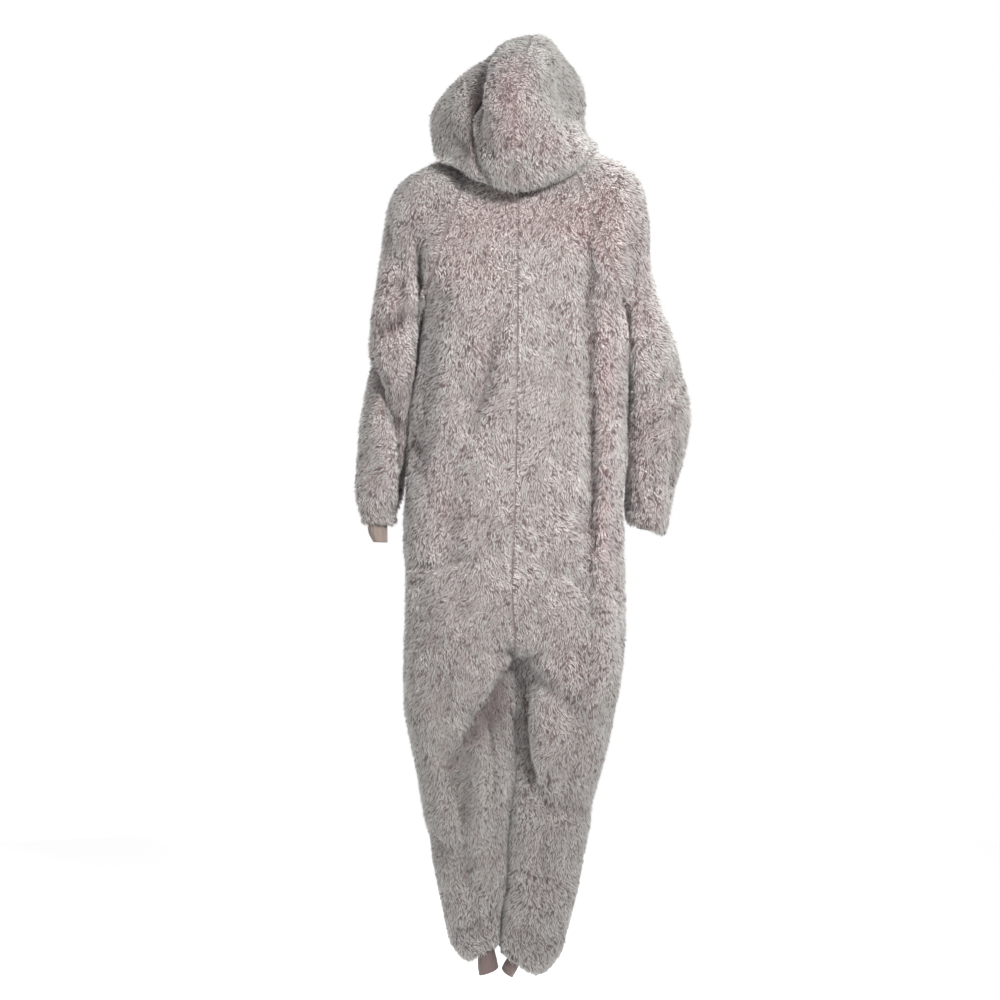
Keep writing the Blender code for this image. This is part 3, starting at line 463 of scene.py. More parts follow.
def crease_shade_at(points, normals):
    """From 0 to 1, how much painted shade each point gets: how deep in a crease or under a fold it is."""
    total = np.zeros(len(points))
    for crease in CREASES:
        near, away, strength, _ = near_curve(crease, points, normals, 2 * crease["width"])
        spread = away / (SHADE_NARROW * crease["width"])
        total[near] += crease["depth"] / SHADE_FULL_DEPTH * strength * np.exp(-(spread**2))
    for fold in FOLDS:
        near, away, strength, _ = near_curve(fold, points, normals, fold["reach"])
        low = np.maximum(-away * np.sign(fold["step"]), 0)
        on_low_side = soft_step(-away * np.sign(fold["step"]), *LOW_EDGE)
        shade = np.exp(-((low / (SHADE_REACH * fold["reach"])) ** 2)) * on_low_side
        total[near] += abs(fold["step"]) / SHADE_FULL_DEPTH * strength * shade
    return np.clip(total, 0, 1)


def blush_at(points, normals):
    """From -1 to 1, how far the pile's colour leans to grey-green or to pink."""
    waves = enumerate(BLUSH_WAVES, 11)
    total = sum(wave["blush"] * noise(points, wave["size"], seed) for seed, wave in waves)
    # the legs greyer and darker: partly their tone, partly painted shade
    total -= LEG_GREY_AND_SHADE * soft_step(-points[:, 2], *LEG_GREY_AND_SHADE_FROM)
    for patch in BLUSHES:
        x = (points[:, 0] - patch["x"]) / patch["half_x"]
        z = (points[:, 2] - patch["z"]) / patch["half_z"]
        facing = soft_step(normals[:, 1] * patch["face"], -0.2, 0.4)
        total += patch["blush"] * np.exp(-(x * x + z * z)) * facing
    return np.clip(total, -1, 1)


# ---------------------------------------------------------------- cloth surfaces


def joined_faces(mesh):
    """The faces of a bmesh, in one list for each part that hangs together."""
    parts, seen = [], set()
    for face in mesh.faces:
        if face in seen:
            continue
        part, waiting = [], [face]
        seen.add(face)
        while waiting:
            one = waiting.pop()
            part.append(one)
            beside = {other for edge in one.edges for other in edge.link_faces} - seen
            seen |= beside
            waiting += beside
        parts.append(part)
    return parts


def outer_layer(node, thickness):
    """The outside of a cloth solid, as a bmesh. Only the edges across its thickness are so long."""
    mesh = bmesh.new()
    mesh.from_mesh(node.data)
    bmesh.ops.remove_doubles(mesh, verts=mesh.verts, dist=SAME_POINT)
    across = [e for e in mesh.edges if abs(e.calc_length() - thickness) < LENGTH_ERROR]
    rim = {face for edge in across for face in edge.link_faces}
    bmesh.ops.delete(mesh, geom=list(rim), context="FACES_ONLY")
    layers = sorted(joined_faces(mesh), key=lambda layer: sum(face.calc_area() for face in layer))
    bmesh.ops.delete(mesh, geom=sum(layers[:-1], []), context="FACES")
    bmesh.ops.join_triangles(
        mesh, faces=mesh.faces, angle_face_threshold=math.pi, angle_shape_threshold=math.pi
    )
    return mesh


def plush_surface(nodes):
    """One smooth surface through the outsides of the plush panels: points, quads and their panels."""
    whole = bmesh.new()
    numbers = whole.faces.layers.int.new("panel")
    for number, name in enumerate(PANELS):
        panel = outer_layer(nodes[name], PLUSH)
        made = {vert: whole.verts.new(vert.co) for vert in panel.verts if vert.link_faces}
        for face in panel.faces:
            whole.faces.new([made[vert] for vert in face.verts])[numbers] = number
        panel.free()
    bmesh.ops.remove_doubles(whole, verts=whole.verts, dist=SEAM_REACH)
    data = bpy.data.meshes.new("plush_surface")
    whole.to_mesh(data)
    whole.free()
    points, quads, panels = subdivided(data, SURFACE_LEVELS)
    return closed_below_zip(points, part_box("zip_tape_left")[0].z), quads, panels


def closed_below_zip(points, zip_end):
    """The surface with the fronts drawn together from the zip's end down to where their seam closes."""
    on_front = (points[:, 1] < 0) & (points[:, 2] < zip_end) & (points[:, 2] > zip_end - ZIP_CLOSING)
    share = (zip_end - points[:, 2]) / ZIP_CLOSING
    offset = points[:, 0] - (CLOSING_X[0] + share * (CLOSING_X[1] - CLOSING_X[0]))
    gap = ZIP_HALF_OPENING * (1 - share)
    pull = gap * np.clip(1 - (np.abs(offset) - gap) / ZIP_PULL_REACH, 0, 1)
    shift = np.minimum(pull, np.abs(offset) - SEAM_GAP)
    points[:, 0] -= np.where(on_front & (shift > 0), np.sign(offset) * shift, 0)
    return points


def subdivided(data, levels):
    """The points, quads and panels of a smooth surface through a mesh's points. The mesh is used up."""
    cage = placed("cage", data)
    smooth = cage.modifiers.new("Smooth", "SUBSURF")
    smooth.levels = smooth.render_levels = levels
    smooth.boundary_smooth = "PRESERVE_CORNERS"
    wanted = coordinates(data)
    for _ in range(CAGE_ROUNDS):
        # the first points of the result are the cage's own, drawn in: the cage is moved out by as much
        made = bpy.data.meshes.new_from_object(cage.evaluated_get(bpy.context.evaluated_depsgraph_get()))
        points = coordinates(made)
        moved = coordinates(data) + (wanted - points[: len(wanted)])
        quads = np.empty(len(made.loops), np.int32)
        made.loops.foreach_get("vertex_index", quads)
        panels = np.zeros(len(made.polygons), np.int32)
        if "panel" in made.attributes:
            made.attributes["panel"].data.foreach_get("value", panels)
        bpy.data.meshes.remove(made)
        data.vertices.foreach_set("co", moved.ravel())
        data.update()
    bpy.data.objects.remove(cage)
    bpy.data.meshes.remove(data)
    return points, quads.reshape(-1, 4), panels


def coordinates(data):
    points = np.empty(len(data.vertices) * 3)
    data.vertices.foreach_get("co", points)
    return points.reshape(-1, 3)


def normals_of(points, quads):
    """Unit normals at the points, weighted by the area of the faces round them."""
    corners = points[quads]
    faces = np.cross(corners[:, 2] - corners[:, 0], corners[:, 3] - corners[:, 1])
    normals = np.zeros_like(points)
    for corner in quads.T:
        np.add.at(normals, corner, faces)
    return unit(normals)


def creased(points, quads, panels):
    """The surface's points with its creases and lumps, and its painted shade: how deep in a crease each
    is, from 0 to 1.
    """
    normals = normals_of(points, quads)
    if (normals * unit(points * (1, 1, 0))).sum() < 0:
        normals = -normals
    lift = sum(crease_lift(crease, points, normals) for crease in CREASES)
    for seed, lump in enumerate(LUMPS):
        lift += lump["height"] * noise(points * LUMP_STRETCH, lump["size"], seed)
    shift = sum(fold_shift(fold, points, normals) for fold in FOLDS)
    shift += normals * lift[:, None]
    _, on_rim, _ = edge_points(quads, panels, len(points))
    from_rim = nearest_distance(points, points[on_rim])[0]
    shift *= soft_step(from_rim, *RIM_FADE)[:, None]
    body = PILE_BODY * soft_step(from_rim, 0, RIM_FADE[1])
    between_legs = soft_step(-points[:, 2], *LEGS_BELOW) * soft_step(np.abs(normals[:, 0]), 0.5, 0.9)
    body += LEG_FILL * between_legs * (np.abs(points[:, 0] - LEGS_APART_X) < LEG_FILL_REACH)
    return points + shift + normals * body[:, None], crease_shade_at(points, normals)


def quad_sides(quads):
    """The points at which each side of the quads starts and ends."""
    return quads.ravel(), np.roll(quads, -1, axis=1).ravel()


def edge_points(quads, panels, count):
    """The points on seams between panels, the points on open edges, and the two points of every edge."""
    owners = [set() for _ in range(count)]
    for quad, panel in zip(quads.tolist(), panels.tolist(), strict=True):
        for corner in quad:
            owners[corner].add(panel)
    on_seam = np.array([len(owner) > 1 for owner in owners])
    keys = np.sort(np.stack(quad_sides(quads), 1), axis=1)
    edges, uses = np.unique(keys, axis=0, return_counts=True)
    on_rim = np.zeros(count, bool)
    on_rim[edges[uses == 1].ravel()] = True
    return on_seam, on_rim, edges


def nearest_distance(points, targets):
    """How far each point is from the nearest target, and which that is."""
    tree = kdtree.KDTree(len(targets))
    for index, target in enumerate(targets):
        tree.insert(target, index)
    tree.balance()
    found = [tree.find(point)[1:] for point in points]
    return np.array([f[1] for f in found]), np.array([f[0] for f in found])


# ---------------------------------------------------------------- making objects


def placed(name, data):
    """A new object in the scene."""
    obj = bpy.data.objects.new(name, data)
    bpy.context.scene.collection.objects.link(obj)
    return obj


def mesh_object(name, points, faces, materials, face_slots=None, smooth=True):
    """A mesh piece that rides on the garment."""
    data = bpy.data.meshes.new(name)
    sides = faces.shape[1]
    data.vertices.add(len(points))
    data.vertices.foreach_set("co", points.astype(np.float32).ravel())
    data.loops.add(faces.size)
    data.loops.foreach_set("vertex_index", faces.astype(np.int32).ravel())
    data.polygons.add(len(faces))
    data.polygons.foreach_set("loop_start", np.arange(0, faces.size, sides, dtype=np.int32))
    data.polygons.foreach_set("loop_total", np.full(len(faces), sides, np.int32))
    for material in materials:
        data.materials.append(material)
    if face_slots is not None:
        data.polygons.foreach_set("material_index", face_slots.astype(np.int32))
    data.update(calc_edges=True)
    data.validate()
    if smooth:
        data.shade_smooth()
    else:
        data.shade_flat()
    obj = placed(name, data)
    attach(obj, "garment")
    return obj


def closed_wall(points, normals, quads, thickness):
    """Points and faces of a wall whose outside is the given surface. Faces past the first layer of
    quads are its inside and its rim."""
    count = len(points)
    inner = points - normals * thickness
    starts, ends = quad_sides(quads)
    directed = set(zip(starts.tolist(), ends.tolist(), strict=True))
    rim = [(b, a, a + count, b + count) for a, b in sorted(directed) if (b, a) not in directed]
    faces = np.vstack((quads, quads[:, ::-1] + count, np.array(rim, int).reshape(-1, 4)))
    return np.vstack((points, inner)), faces


def faced_out(points, quads, normals):
    """The quads turned so that they face the way of the given vectors."""
    own = normals_of(points, quads)
    return quads if (own * normals).sum() > 0 else quads[:, ::-1]


# ---------------------------------------------------------------- pile


def pile_roots(points, normals, crease_shade, quads, rng):
    """Evenly scattered places on the surface: points, normals and painted shade, by how deep in a crease
    each is.
    """
    corners = points[quads]
    diagonals = corners[:, 2] - corners[:, 0], corners[:, 3] - corners[:, 1]
    wanted = np.linalg.norm(np.cross(*diagonals), axis=1) / 2 / FIBRE_AREA
    counts = np.floor(wanted + rng.random(len(wanted))).astype(int)
    face = np.repeat(np.arange(len(quads)), counts)
    order = np.arange(len(face)) - np.repeat(np.cumsum(counts) - counts, counts)
    shift = rng.random((len(quads), 2))[face]
    # a sequence whose points keep apart in the unit square, however many are taken
    u, v = ((shift + order[:, None] * (0.7548777, 0.5698403)) % 1).T[:, :, None]
    weights = ((1 - u) * (1 - v), u * (1 - v), u * v, (1 - u) * v)
    place = sum(w * points[quads[face, k]] for k, w in enumerate(weights))
    normal = unit(sum(w * normals[quads[face, k]] for k, w in enumerate(weights)))
    root_shade = sum(w[:, 0] * crease_shade[quads[face, k]] for k, w in enumerate(weights))
    return place, normal, root_shade


def across(vectors, normal):
    """The unit part of each vector in the cloth's own plane."""
    return unit(vectors - (vectors * normal).sum(1, keepdims=True) * normal)


def pile_direction(place, normal, rng):
    """The way each lock lies: down the garment, with swirls."""
    waves = [noise(place, DRIFT_SIZE, seed) for seed in (21, 22)]
    drift = np.stack((*waves, np.zeros(len(place))), axis=1)
    lie = across(np.array((0.0, 0.0, -1.0)) + DRIFT * drift, normal)
    turn = sum(swirl["turn"] * noise(place, swirl["size"], seed) for seed, swirl in enumerate(SWIRLS, 23))
    turn += rng.normal(0, SWIRL_SPREAD, len(place))
    side = np.cross(normal, lie)
    return unit(lie * np.cos(turn)[:, None] + side * np.sin(turn)[:, None])


def cones(root, tip, normal, width, rng):
    """Points and triangles of open cones from ring to tip."""
    count = len(root)
    side = unit(np.cross(tip - root, normal))
    upright = unit(np.cross(side, tip - root))
    roll = rng.random(count) * 2 * math.pi
    ring = []
    for k in range(FIBRE_SIDES):
        angle = (roll + 2 * math.pi * k / FIBRE_SIDES)[:, None]
        ring.append(root + (side * np.cos(angle) + upright * np.sin(angle)) * width[:, None])
    points = np.stack([*ring, tip], axis=1)
    faces = np.array([(k, (k + 1) % FIBRE_SIDES, FIBRE_SIDES) for k in range(FIBRE_SIDES)])
    triangles = faces[None] + np.arange(count)[:, None, None] * (FIBRE_SIDES + 1)
    return points.reshape(-1, 3), triangles.reshape(-1, 3)


def parted_roots(cloth, partings, rng):
    """The roots that are not too near a seam: places, normals, painted shade by how deep in a crease each
    is, how far from the nearest seam, and which of the partings' points that is."""
    place, normal, root_shade = pile_roots(*cloth, rng)
    distance, nearest = nearest_distance(place, partings["seams"])
    always, waves, chance = PARTING_MIX
    parting = SEAM_PARTING * (always + waves * noise(place, 0.045, 32) + chance * rng.random(len(place)))
    keep = distance > parting * partings["clear"][nearest]
    return [value[keep] for value in (place, normal, root_shade, distance, nearest)]


def lock_ways(place, normal, distance, nearest, partings, rng):
    """Each lock's way and length, how near a seam it is and its blush. It leans away from a seam and
    hangs over a hem."""
    near = 1 - soft_step(distance, SEAM_PARTING, PARTING_REACH)
    from_seam = across(place - partings["seams"][nearest], normal)
    hem_distance, nearest_hem = nearest_distance(place, partings["hems"])
    to_hem = across(partings["hems"][nearest_hem] - place, normal)
    at_hem = (1 - soft_step(hem_distance, 0, HEM_REACH)) * (hem_distance > ON_HEM)
    lie = pile_direction(place, normal, rng)
    near = near * partings["clear"][nearest]
    aside = SEAM_LEAN * near[:, None] * from_seam
    over_hem = HEM_LEAN * at_hem[:, None] * to_hem
    lie = across(lie + aside + over_hem, normal)
    blush = blush_at(place, normal)
    lean = rng.uniform(*LOCK_LEAN, len(place)) - PINK_UP * blush + HEM_DOWN * at_hem
    lean = np.radians(lean)[:, None]
    length = rng.uniform(*FIBRE_LENGTH, len(place)) * (1 - SEAM_SHORTER * near + HEM_LONGER * at_hem)
    return unit(normal * np.cos(lean) + lie * np.sin(lean)), length, near, blush


def add_pile(name, cloth, partings, seed, material):
    """The pile of one panel. Each lock has a middle, whose lean and length its cones share."""
    rng = np.random.default_rng(seed)
    place, normal, root_shade, distance, nearest = parted_roots(cloth, partings, rng)
    count = len(place)
    middles = rng.random(count) < 1 / FIBRES_A_LOCK
    lock_place, crease_shade = place[middles], root_shade[middles]
    locks = len(lock_place)
    way, length, near, blush = lock_ways(
        lock_place, normal[middles], distance[middles], nearest[middles], partings, rng
    )
    _, lock = nearest_distance(place, lock_place)
    own_way = unit(way[lock] + rng.normal(0, LOCK_SPREAD, place.shape))
    own_length = (length[lock] * rng.uniform(*LENGTH_SHARES, count))[:, None]
    free_tip = place + own_way * own_length
    lock_tip = lock_place[lock] + way[lock] * own_length
    tip = free_tip + (lock_tip - free_tip) * LOCK_GATHER
    root = place - normal * ROOT_DEPTH

    # open fibres show their dark roots, in strokes that are thick where the pile is pinker
    share = OPEN_SHARE * (1 + 0.9 * blush) + 0.09 * noise(lock_place, 0.018, 31)
    # painted shade: more locks are open, and so dark, deep in creases and under folds
    open_lock = rng.random(locks) < 1.8 * share + CREASE_SHADE_STROKES * crease_shade + OPEN_NEAR_SEAM * near
    is_open = (open_lock[lock] & (rng.random(count) < OPEN_IN_LOCK)) | (rng.random(count) < OPEN_ALONE)
    width = rng.uniform(*FIBRE_WIDTH, count) * np.where(is_open, OPEN_WIDER, 1.0)
    width *= 1 + THIN_PATCHES * (noise(lock_place, 0.030, 33) + noise(lock_place, 0.013, 34))[lock]
    points, triangles = cones(root, tip, normal, width, rng)
    pile = mesh_object(name, points, triangles, [material])

    always, by_lock, by_fibre = TONE_MIX
    tone = always + by_lock * rng.random(locks)[lock] + by_fibre * rng.random(count)
    tone *= 1 - PINK_DARKER * np.maximum(blush, 0)[lock]
    # painted shade: the pile's tone is drawn darker deep in creases and under folds
    tone = np.where(is_open, 0.0, tone * (1 - CREASE_DARKER * crease_shade[lock]))
    paint_pile(pile, blush[lock], tone)
    return pile


def paint_pile(pile, blush, tone):
    """What the pile's material reads at each point: its height on the cone, the cone's blush and tone."""
    corners = FIBRE_SIDES + 1
    height = np.tile([0.0] * FIBRE_SIDES + [1.0], len(tone))
    parts = height, np.repeat(blush / 2 + 0.5, corners), np.repeat(tone, corners), np.ones(len(height))
    attribute = pile.data.attributes.new("pile", "FLOAT_COLOR", "POINT")
    attribute.data.foreach_set("color", np.stack(parts, axis=1).astype(np.float32).ravel())


# ---------------------------------------------------------------- materials


# The pile's colours, from the root up
PLAIN = ((0.0, (0.23, 0.186, 0.182)), (0.30, (0.53, 0.502, 0.487)), (0.75, (0.83, 0.819, 0.797)))
PINK = ((0.0, (0.28, 0.165, 0.168)), (0.30, (0.56, 0.468, 0.462)), (0.75, (0.86, 0.798, 0.787)))
GREEN = ((0.0, (0.24, 0.215, 0.205)), (0.30, (0.47, 0.460, 0.435)), (0.75, (0.67, 0.675, 0.640)))
TONES = ((0.10, (0.26, 0.24, 0.235)), (0.45, (0.84, 0.83, 0.83)), (1.0, (1.10, 1.10, 1.10)))
MOTTLE = ((0.3, (0.90, 0.895, 0.89)), (0.7, (1.06, 1.06, 1.06)))


class Shader:
    """A node material under construction: node() adds a node and links or sets its inputs by name."""

    def __init__(self, name):
        self.material = bpy.data.materials.new(name)
        self.material.use_nodes = True
        self.tree = self.material.node_tree
        self.surface = self.tree.nodes["Principled BSDF"]

    def put(self, socket, value):
        if isinstance(value, bpy.types.NodeSocket):
            self.tree.links.new(value, socket)
        else:
            socket.default_value = value

    def node(self, kind, inputs=(), **settings):
        made = self.tree.nodes.new("ShaderNode" + kind)
        for key, value in settings.items():
            setattr(made, key, value)
        for key, value in dict(inputs).items():
            self.put(made.inputs[key], value)
        return made

    def math(self, operation, a, b=0.0, c=0.0, clamp=False):
        return self.node("Math", {0: a, 1: b, 2: c}, operation=operation, use_clamp=clamp).outputs[0]

    def mix(self, share, a, b, blend="MIX"):
        made = self.node("Mix", {0: share, 6: a, 7: b}, data_type="RGBA", blend_type=blend)
        return made.outputs[2]

    def noise(self, vector, scale, detail=2.0, roughness=0.5):
        inputs = {"Vector": vector, "Scale": scale, "Detail": detail, "Roughness": roughness}
        return self.node("TexNoise", inputs).outputs["Fac"]

    def ramp(self, value, *stops):
        made = self.node("ValToRGB", {"Fac": value})
        ramp = made.color_ramp
        while len(ramp.elements) < len(stops):
            ramp.elements.new(0.5)
        for element, (place, colour) in zip(ramp.elements, stops, strict=True):
            element.position = place
            element.color = (*colour, 1)
        return made.outputs["Color"]

    def stretched(self, scale):
        """The place on the object, stretched by a scale for each axis."""
        place = self.node("TexCoord").outputs["Object"]
        return self.node("Mapping", {"Vector": place, "Scale": scale}).outputs["Vector"]

    def wave(self, vector, scale, direction, distortion, detail=2.0):
        inputs = {"Vector": vector, "Scale": scale, "Distortion": distortion, "Detail": detail}
        return self.node("TexWave", inputs, bands_direction=direction).outputs["Fac"]

    def bump(self, height, strength, distance):
        inputs = {"Height": height, "Strength": strength, "Distance": distance}
        self.put(self.surface.inputs["Normal"], self.node("Bump", inputs).outputs["Normal"])

    def finish(self, colour, roughness, **fixed):
        self.put(self.surface.inputs["Base Color"], colour)
        self.put(self.surface.inputs["Roughness"], roughness)
        for key, value in fixed.items():
            self.put(self.surface.inputs[key.replace("_", " ").title().replace("Ior", "IOR")], value)
        return self.material


def grey(value):
    return (value, value, value, 1.0)


def pile_material():
    """Frosted pile: dusty rose at the roots and grey-cream to the tips, pinker or greener in patches."""
    s = Shader("plush_pile")
    parts = s.node("SeparateColor", {"Color": s.node("Attribute", attribute_name="pile").outputs["Color"]})
    height, blush, tone = parts.outputs
    plain, pink, green = (s.ramp(height, *stops) for stops in (PLAIN, PINK, GREEN))
    pinkness = s.math("MULTIPLY_ADD", blush, 2.0, -1.0, clamp=True)
    greenness = s.math("MULTIPLY_ADD", blush, -2.0, 1.0, clamp=True)
    colour = s.mix(greenness, s.mix(pinkness, plain, pink), green)
    dark = s.mix(pinkness, (0.125, 0.086, 0.084, 1.0), (0.150, 0.074, 0.080, 1.0))
    place = s.stretched((1, 1, 1))
    mottle = s.noise(place, 38, 3)
    colour = s.mix(1.0, colour, s.ramp(mottle, *MOTTLE), "MULTIPLY")
    # the tone darkens the pile: at random, where it is pink, and as painted shade in creases and under
    # folds
    colour = s.mix(1.0, colour, s.ramp(tone, *TONES), "MULTIPLY")
    colour = s.mix(s.math("LESS_THAN", tone, 0.1), colour, dark)
    fibres = s.noise(s.stretched((1400, 1400, 260)), 1.0, 3, 0.65)
    s.bump(fibres, 0.5, 0.0008)
    return s.finish(
        colour,
        0.85,
        sheen_weight=0.30,
        sheen_roughness=0.5,
        sheen_tint=(0.95, 0.92, 0.90, 1.0),
        specular_ior_level=0.15,
    )


def backing_material():
    """The dense roots of the pile, seen between its locks."""
    s = Shader("plush_roots")
    grain = s.noise(s.stretched((1, 1, 1)), 240, 4, 0.6)
    colour = s.ramp(grain, (0.30, (0.110, 0.084, 0.081)), (0.75, (0.250, 0.208, 0.199)))
    s.bump(s.noise(s.stretched((900, 900, 420)), 1.0, 3, 0.6), 0.8, 0.0014)
    return s.finish(colour, 0.95, sheen_weight=0.3, sheen_roughness=0.6, specular_ior_level=0.1)


def knit_material(name, dark, light):
    """Fine knit: upright columns of small loops, with a light fuzz."""
    s = Shader(name)
    place = s.stretched((1, 1, 1))
    rows = s.wave(place, 190.0, "Z", 1.2, 1.0)
    columns = s.wave(place, 150.0, "DIAGONAL", 0.9, 1.0)
    height = s.math("MULTIPLY", rows, columns)
    fuzz = s.noise(place, 700, 3, 0.6)
    colour = s.mix(s.math("MULTIPLY_ADD", height, 0.6, 0.25), dark, light)
    colour = s.mix(1.0, colour, s.ramp(fuzz, (0.3, (0.90,) * 3), (0.7, (1.05,) * 3)), "MULTIPLY")
    s.bump(s.math("ADD", height, fuzz), 0.45, 0.0005)
    return s.finish(colour, 0.9, sheen_weight=0.25, sheen_roughness=0.5, specular_ior_level=0.2)


def tape_material():
    """Woven zip tape: a fine herringbone."""
    s = Shader("zip_tape_weave")
    up = s.wave(s.stretched((1, 1, 1)), 330.0, "DIAGONAL", 0.6)
    cross = s.wave(s.stretched((-1, 1, 1)), 330.0, "DIAGONAL", 0.6)
    height = s.math("MULTIPLY", up, cross)
    colour = s.mix(height, (0.120, 0.088, 0.082, 1), (0.25, 0.195, 0.182, 1))
    s.bump(height, 0.5, 0.0004)
    return s.finish(colour, 0.85, specular_ior_level=0.25)


def teeth_material():
    s = Shader("zip_teeth")
    shade = s.noise(s.stretched((1, 1, 1)), 900, 2)
    colour = s.ramp(shade, (0.3, (0.30, 0.215, 0.20)), (0.7, (0.40, 0.30, 0.28)))
    s.bump(shade, 0.15, 0.0002)
    return s.finish(colour, s.ramp(shade, (0.3, (0.34,) * 3), (0.7, (0.48,) * 3)), specular_ior_level=0.5)


def metal_material():
    """Satin nickel with light wear."""
    s = Shader("satin_nickel")
    grain = s.noise(s.stretched((260, 260, 2400)), 1.0, 4, 0.6)
    wear = s.noise(s.stretched((1, 1, 1)), 260, 4, 0.6)
    colour = s.ramp(wear, (0.3, (0.46, 0.44, 0.41)), (0.7, (0.64, 0.62, 0.59)))
    rough = s.ramp(grain, (0.3, (0.24,) * 3), (0.7, (0.40,) * 3))
    s.bump(grain, 0.12, 0.0002)
    return s.finish(colour, rough, metallic=1.0)


def floor_material():
    s = Shader("studio_floor")
    shade = s.noise(s.stretched((1, 1, 1)), 3, 2)
    colour = s.ramp(shade, (0.0, (0.93,) * 3), (1.0, (0.95,) * 3))
    glow = {"emission_color": grey(1.0), "emission_strength": FLOOR_GLOW}
    return s.finish(colour, 0.9, specular_ior_level=0.1, **glow)


# ---------------------------------------------------------------- pieces


def pile_partings(points, normals, quads, panels):
    """Where the pile is parted and where it hangs over: points on the seams, how many times as far it is
    parted at each, points on the hems, and the surface's points that are on seams."""
    on_seam, on_rim, edges = edge_points(quads, panels, len(points))
    zip_edge = on_rim & (np.abs(points[:, 0]) < 0.03) & (points[:, 2] < 0) & (normals[:, 1] < 0)
    sleeves = np.isin(panels, [number for number, name in enumerate(PANELS) if "sleeve" in name])
    clear = np.ones(len(points))
    clear[quads[sleeves].ravel()] = ARM_PARTING
    starts, ends = edges[(on_seam | zip_edge)[edges].all(axis=1)].T
    return {
        "seams": np.vstack([points[starts] + t * (points[ends] - points[starts]) for t in SEAM_SHARES]),
        "clear": np.tile(np.minimum(clear[starts], clear[ends]), len(SEAM_SHARES)),
        "hems": points[on_rim & ~zip_edge],
        "on_seam": on_seam,
    }


def with_seam_gap(points, normals, quads, on_seam):
    """A panel's points, drawn in at its seams by half of the gap that is kept there."""
    middles = points[quads].mean(axis=1)
    inward = np.zeros_like(points)
    for corner in quads.T:
        np.add.at(inward, corner, middles - points[corner])
    return points + across(inward, normals) * on_seam[:, None] * SEAM_GAP / 2


def add_plush(points, quads, panels, crease_shade):
    """The panels' cloth and pile."""
    normals = normals_of(points, quads)
    partings = pile_partings(points, normals, quads, panels)
    roots, pile = backing_material(), pile_material()
    inside = knit_material("plush_inside", (0.33, 0.25, 0.235, 1), (0.55, 0.46, 0.44, 1))
    for number, name in enumerate(PANELS):
        own = quads[panels == number]
        used, flat = np.unique(own, return_inverse=True)
        own = flat.reshape(own.shape)
        own_normals = normals[used]
        own_points = with_seam_gap(points[used], own_normals, own, partings["on_seam"][used])
        wall, faces = closed_wall(own_points, own_normals, own, PLUSH)
        slots = np.concatenate((np.zeros(len(own)), np.ones(len(faces) - len(own))))
        shell = mesh_object(f"cloth_{name}", wall, faces, [roots, inside], slots)
        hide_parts(name)
        own_cloth = own_points, own_normals, crease_shade[used], own
        fur = add_pile(f"pile_{name}", own_cloth, partings, 100 + number, pile)


def layer_surface(node, thickness, levels):
    """The outside of a cloth solid as a smooth surface: points and quads."""
    layer = outer_layer(node, thickness)
    data = bpy.data.meshes.new("layer")
    layer.to_mesh(data)
    layer.free()
    points, quads, _ = subdivided(data, levels)
    return points, quads


def add_cuffs(nodes):
    """The ribbed cuffs."""
    knits = {
        "wrist": knit_material("cuff_knit_wrist", (0.15, 0.118, 0.103, 1), (0.27, 0.217, 0.190, 1)),
        # the ankle knit is darker than the wrist knit, partly as painted shade for the shadow the ankle
        # cuffs sit in
        "ankle": knit_material("cuff_knit_ankle", (0.115, 0.085, 0.080, 1), (0.235, 0.180, 0.170, 1)),
    }
    for cuff, side in itertools.product(CUFFS, SIDES):
        name = f"{cuff['at']}_cuff_{side}"
        points, quads = layer_surface(nodes[name], JERSEY, CUFF_LEVELS)
        points[:, 2] += CUFF_TUCK.get(name, 0.0)
        height = np.stack((points[:, 2], np.ones(len(points))), axis=1)
        axis = height @ np.linalg.lstsq(height, points[:, :2], rcond=None)[0]
        spoke = np.zeros_like(points)
        spoke[:, :2] = points[:, :2] - axis
        quads = faced_out(points, quads, spoke)
        normals = normals_of(points, quads)
        angle = np.arctan2(spoke[:, 1], spoke[:, 0])
        points = points + normals * (RIB_DEPTH * np.cos(CUFF_RIBS * angle))[:, None]
        wall, faces = closed_wall(points, normals, quads, JERSEY - RIB_DEPTH)
        piece = mesh_object(f"knit_{name}", wall, faces, [knits[cuff["at"]]])
        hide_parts(name)


def bars(places, along, outs, halves, inset):
    """Points and quads of one bar for each place: half sizes across, along and outwards. The outer face
    is inset on all sides."""
    corners = [(-1, -1), (1, -1), (1, 1), (-1, 1)]
    side = np.cross(along, outs)
    rings = []
    for out, cut in ((-1, 0), (0.4, 0), (1, inset)):
        for across_sign, along_sign in corners:
            rings.append(
                places
                + side * (across_sign * (halves[:, :1] - cut))
                + along * (along_sign * (halves[:, 1:2] - cut))
                + outs * (out * halves[:, 2:3])
            )
    points = np.stack(rings, axis=1)
    faces = [(3, 2, 1, 0), (8, 9, 10, 11)]
    for ring in (0, 4):
        faces += [(ring + k, ring + (k + 1) % 4, ring + 4 + (k + 1) % 4, ring + 4 + k) for k in range(4)]
    quads = np.array(faces)[None] + np.arange(len(places))[:, None, None] * BAR_POINTS
    return points.reshape(-1, 3), quads.reshape(-1, 4)


def faced_quads(points, quads):
    """The quads of many bars, turned so that each faces away from its bar's middle."""
    solids = points.reshape(-1, BAR_POINTS, 3)
    middles = np.repeat(solids.mean(axis=1), BAR_FACES, axis=0)
    corners = points[quads]
    normals = np.cross(corners[:, 2] - corners[:, 0], corners[:, 3] - corners[:, 1])
    outward = (normals * (corners.mean(axis=1) - middles)).sum(axis=1) > 0
    return np.where(outward[:, None], quads, quads[:, ::-1])


def add_bars(name, places, shifts, halves, inset, material):
    """One piece of small bars at places on the zip's chain, shifted from it."""
    place, along, outs = places
    points, quads = bars(place + shifts + outs * CHAIN_RISE, along, outs, halves, inset)
    mesh_object(name, points, faced_quads(points, quads), [material], smooth=False)


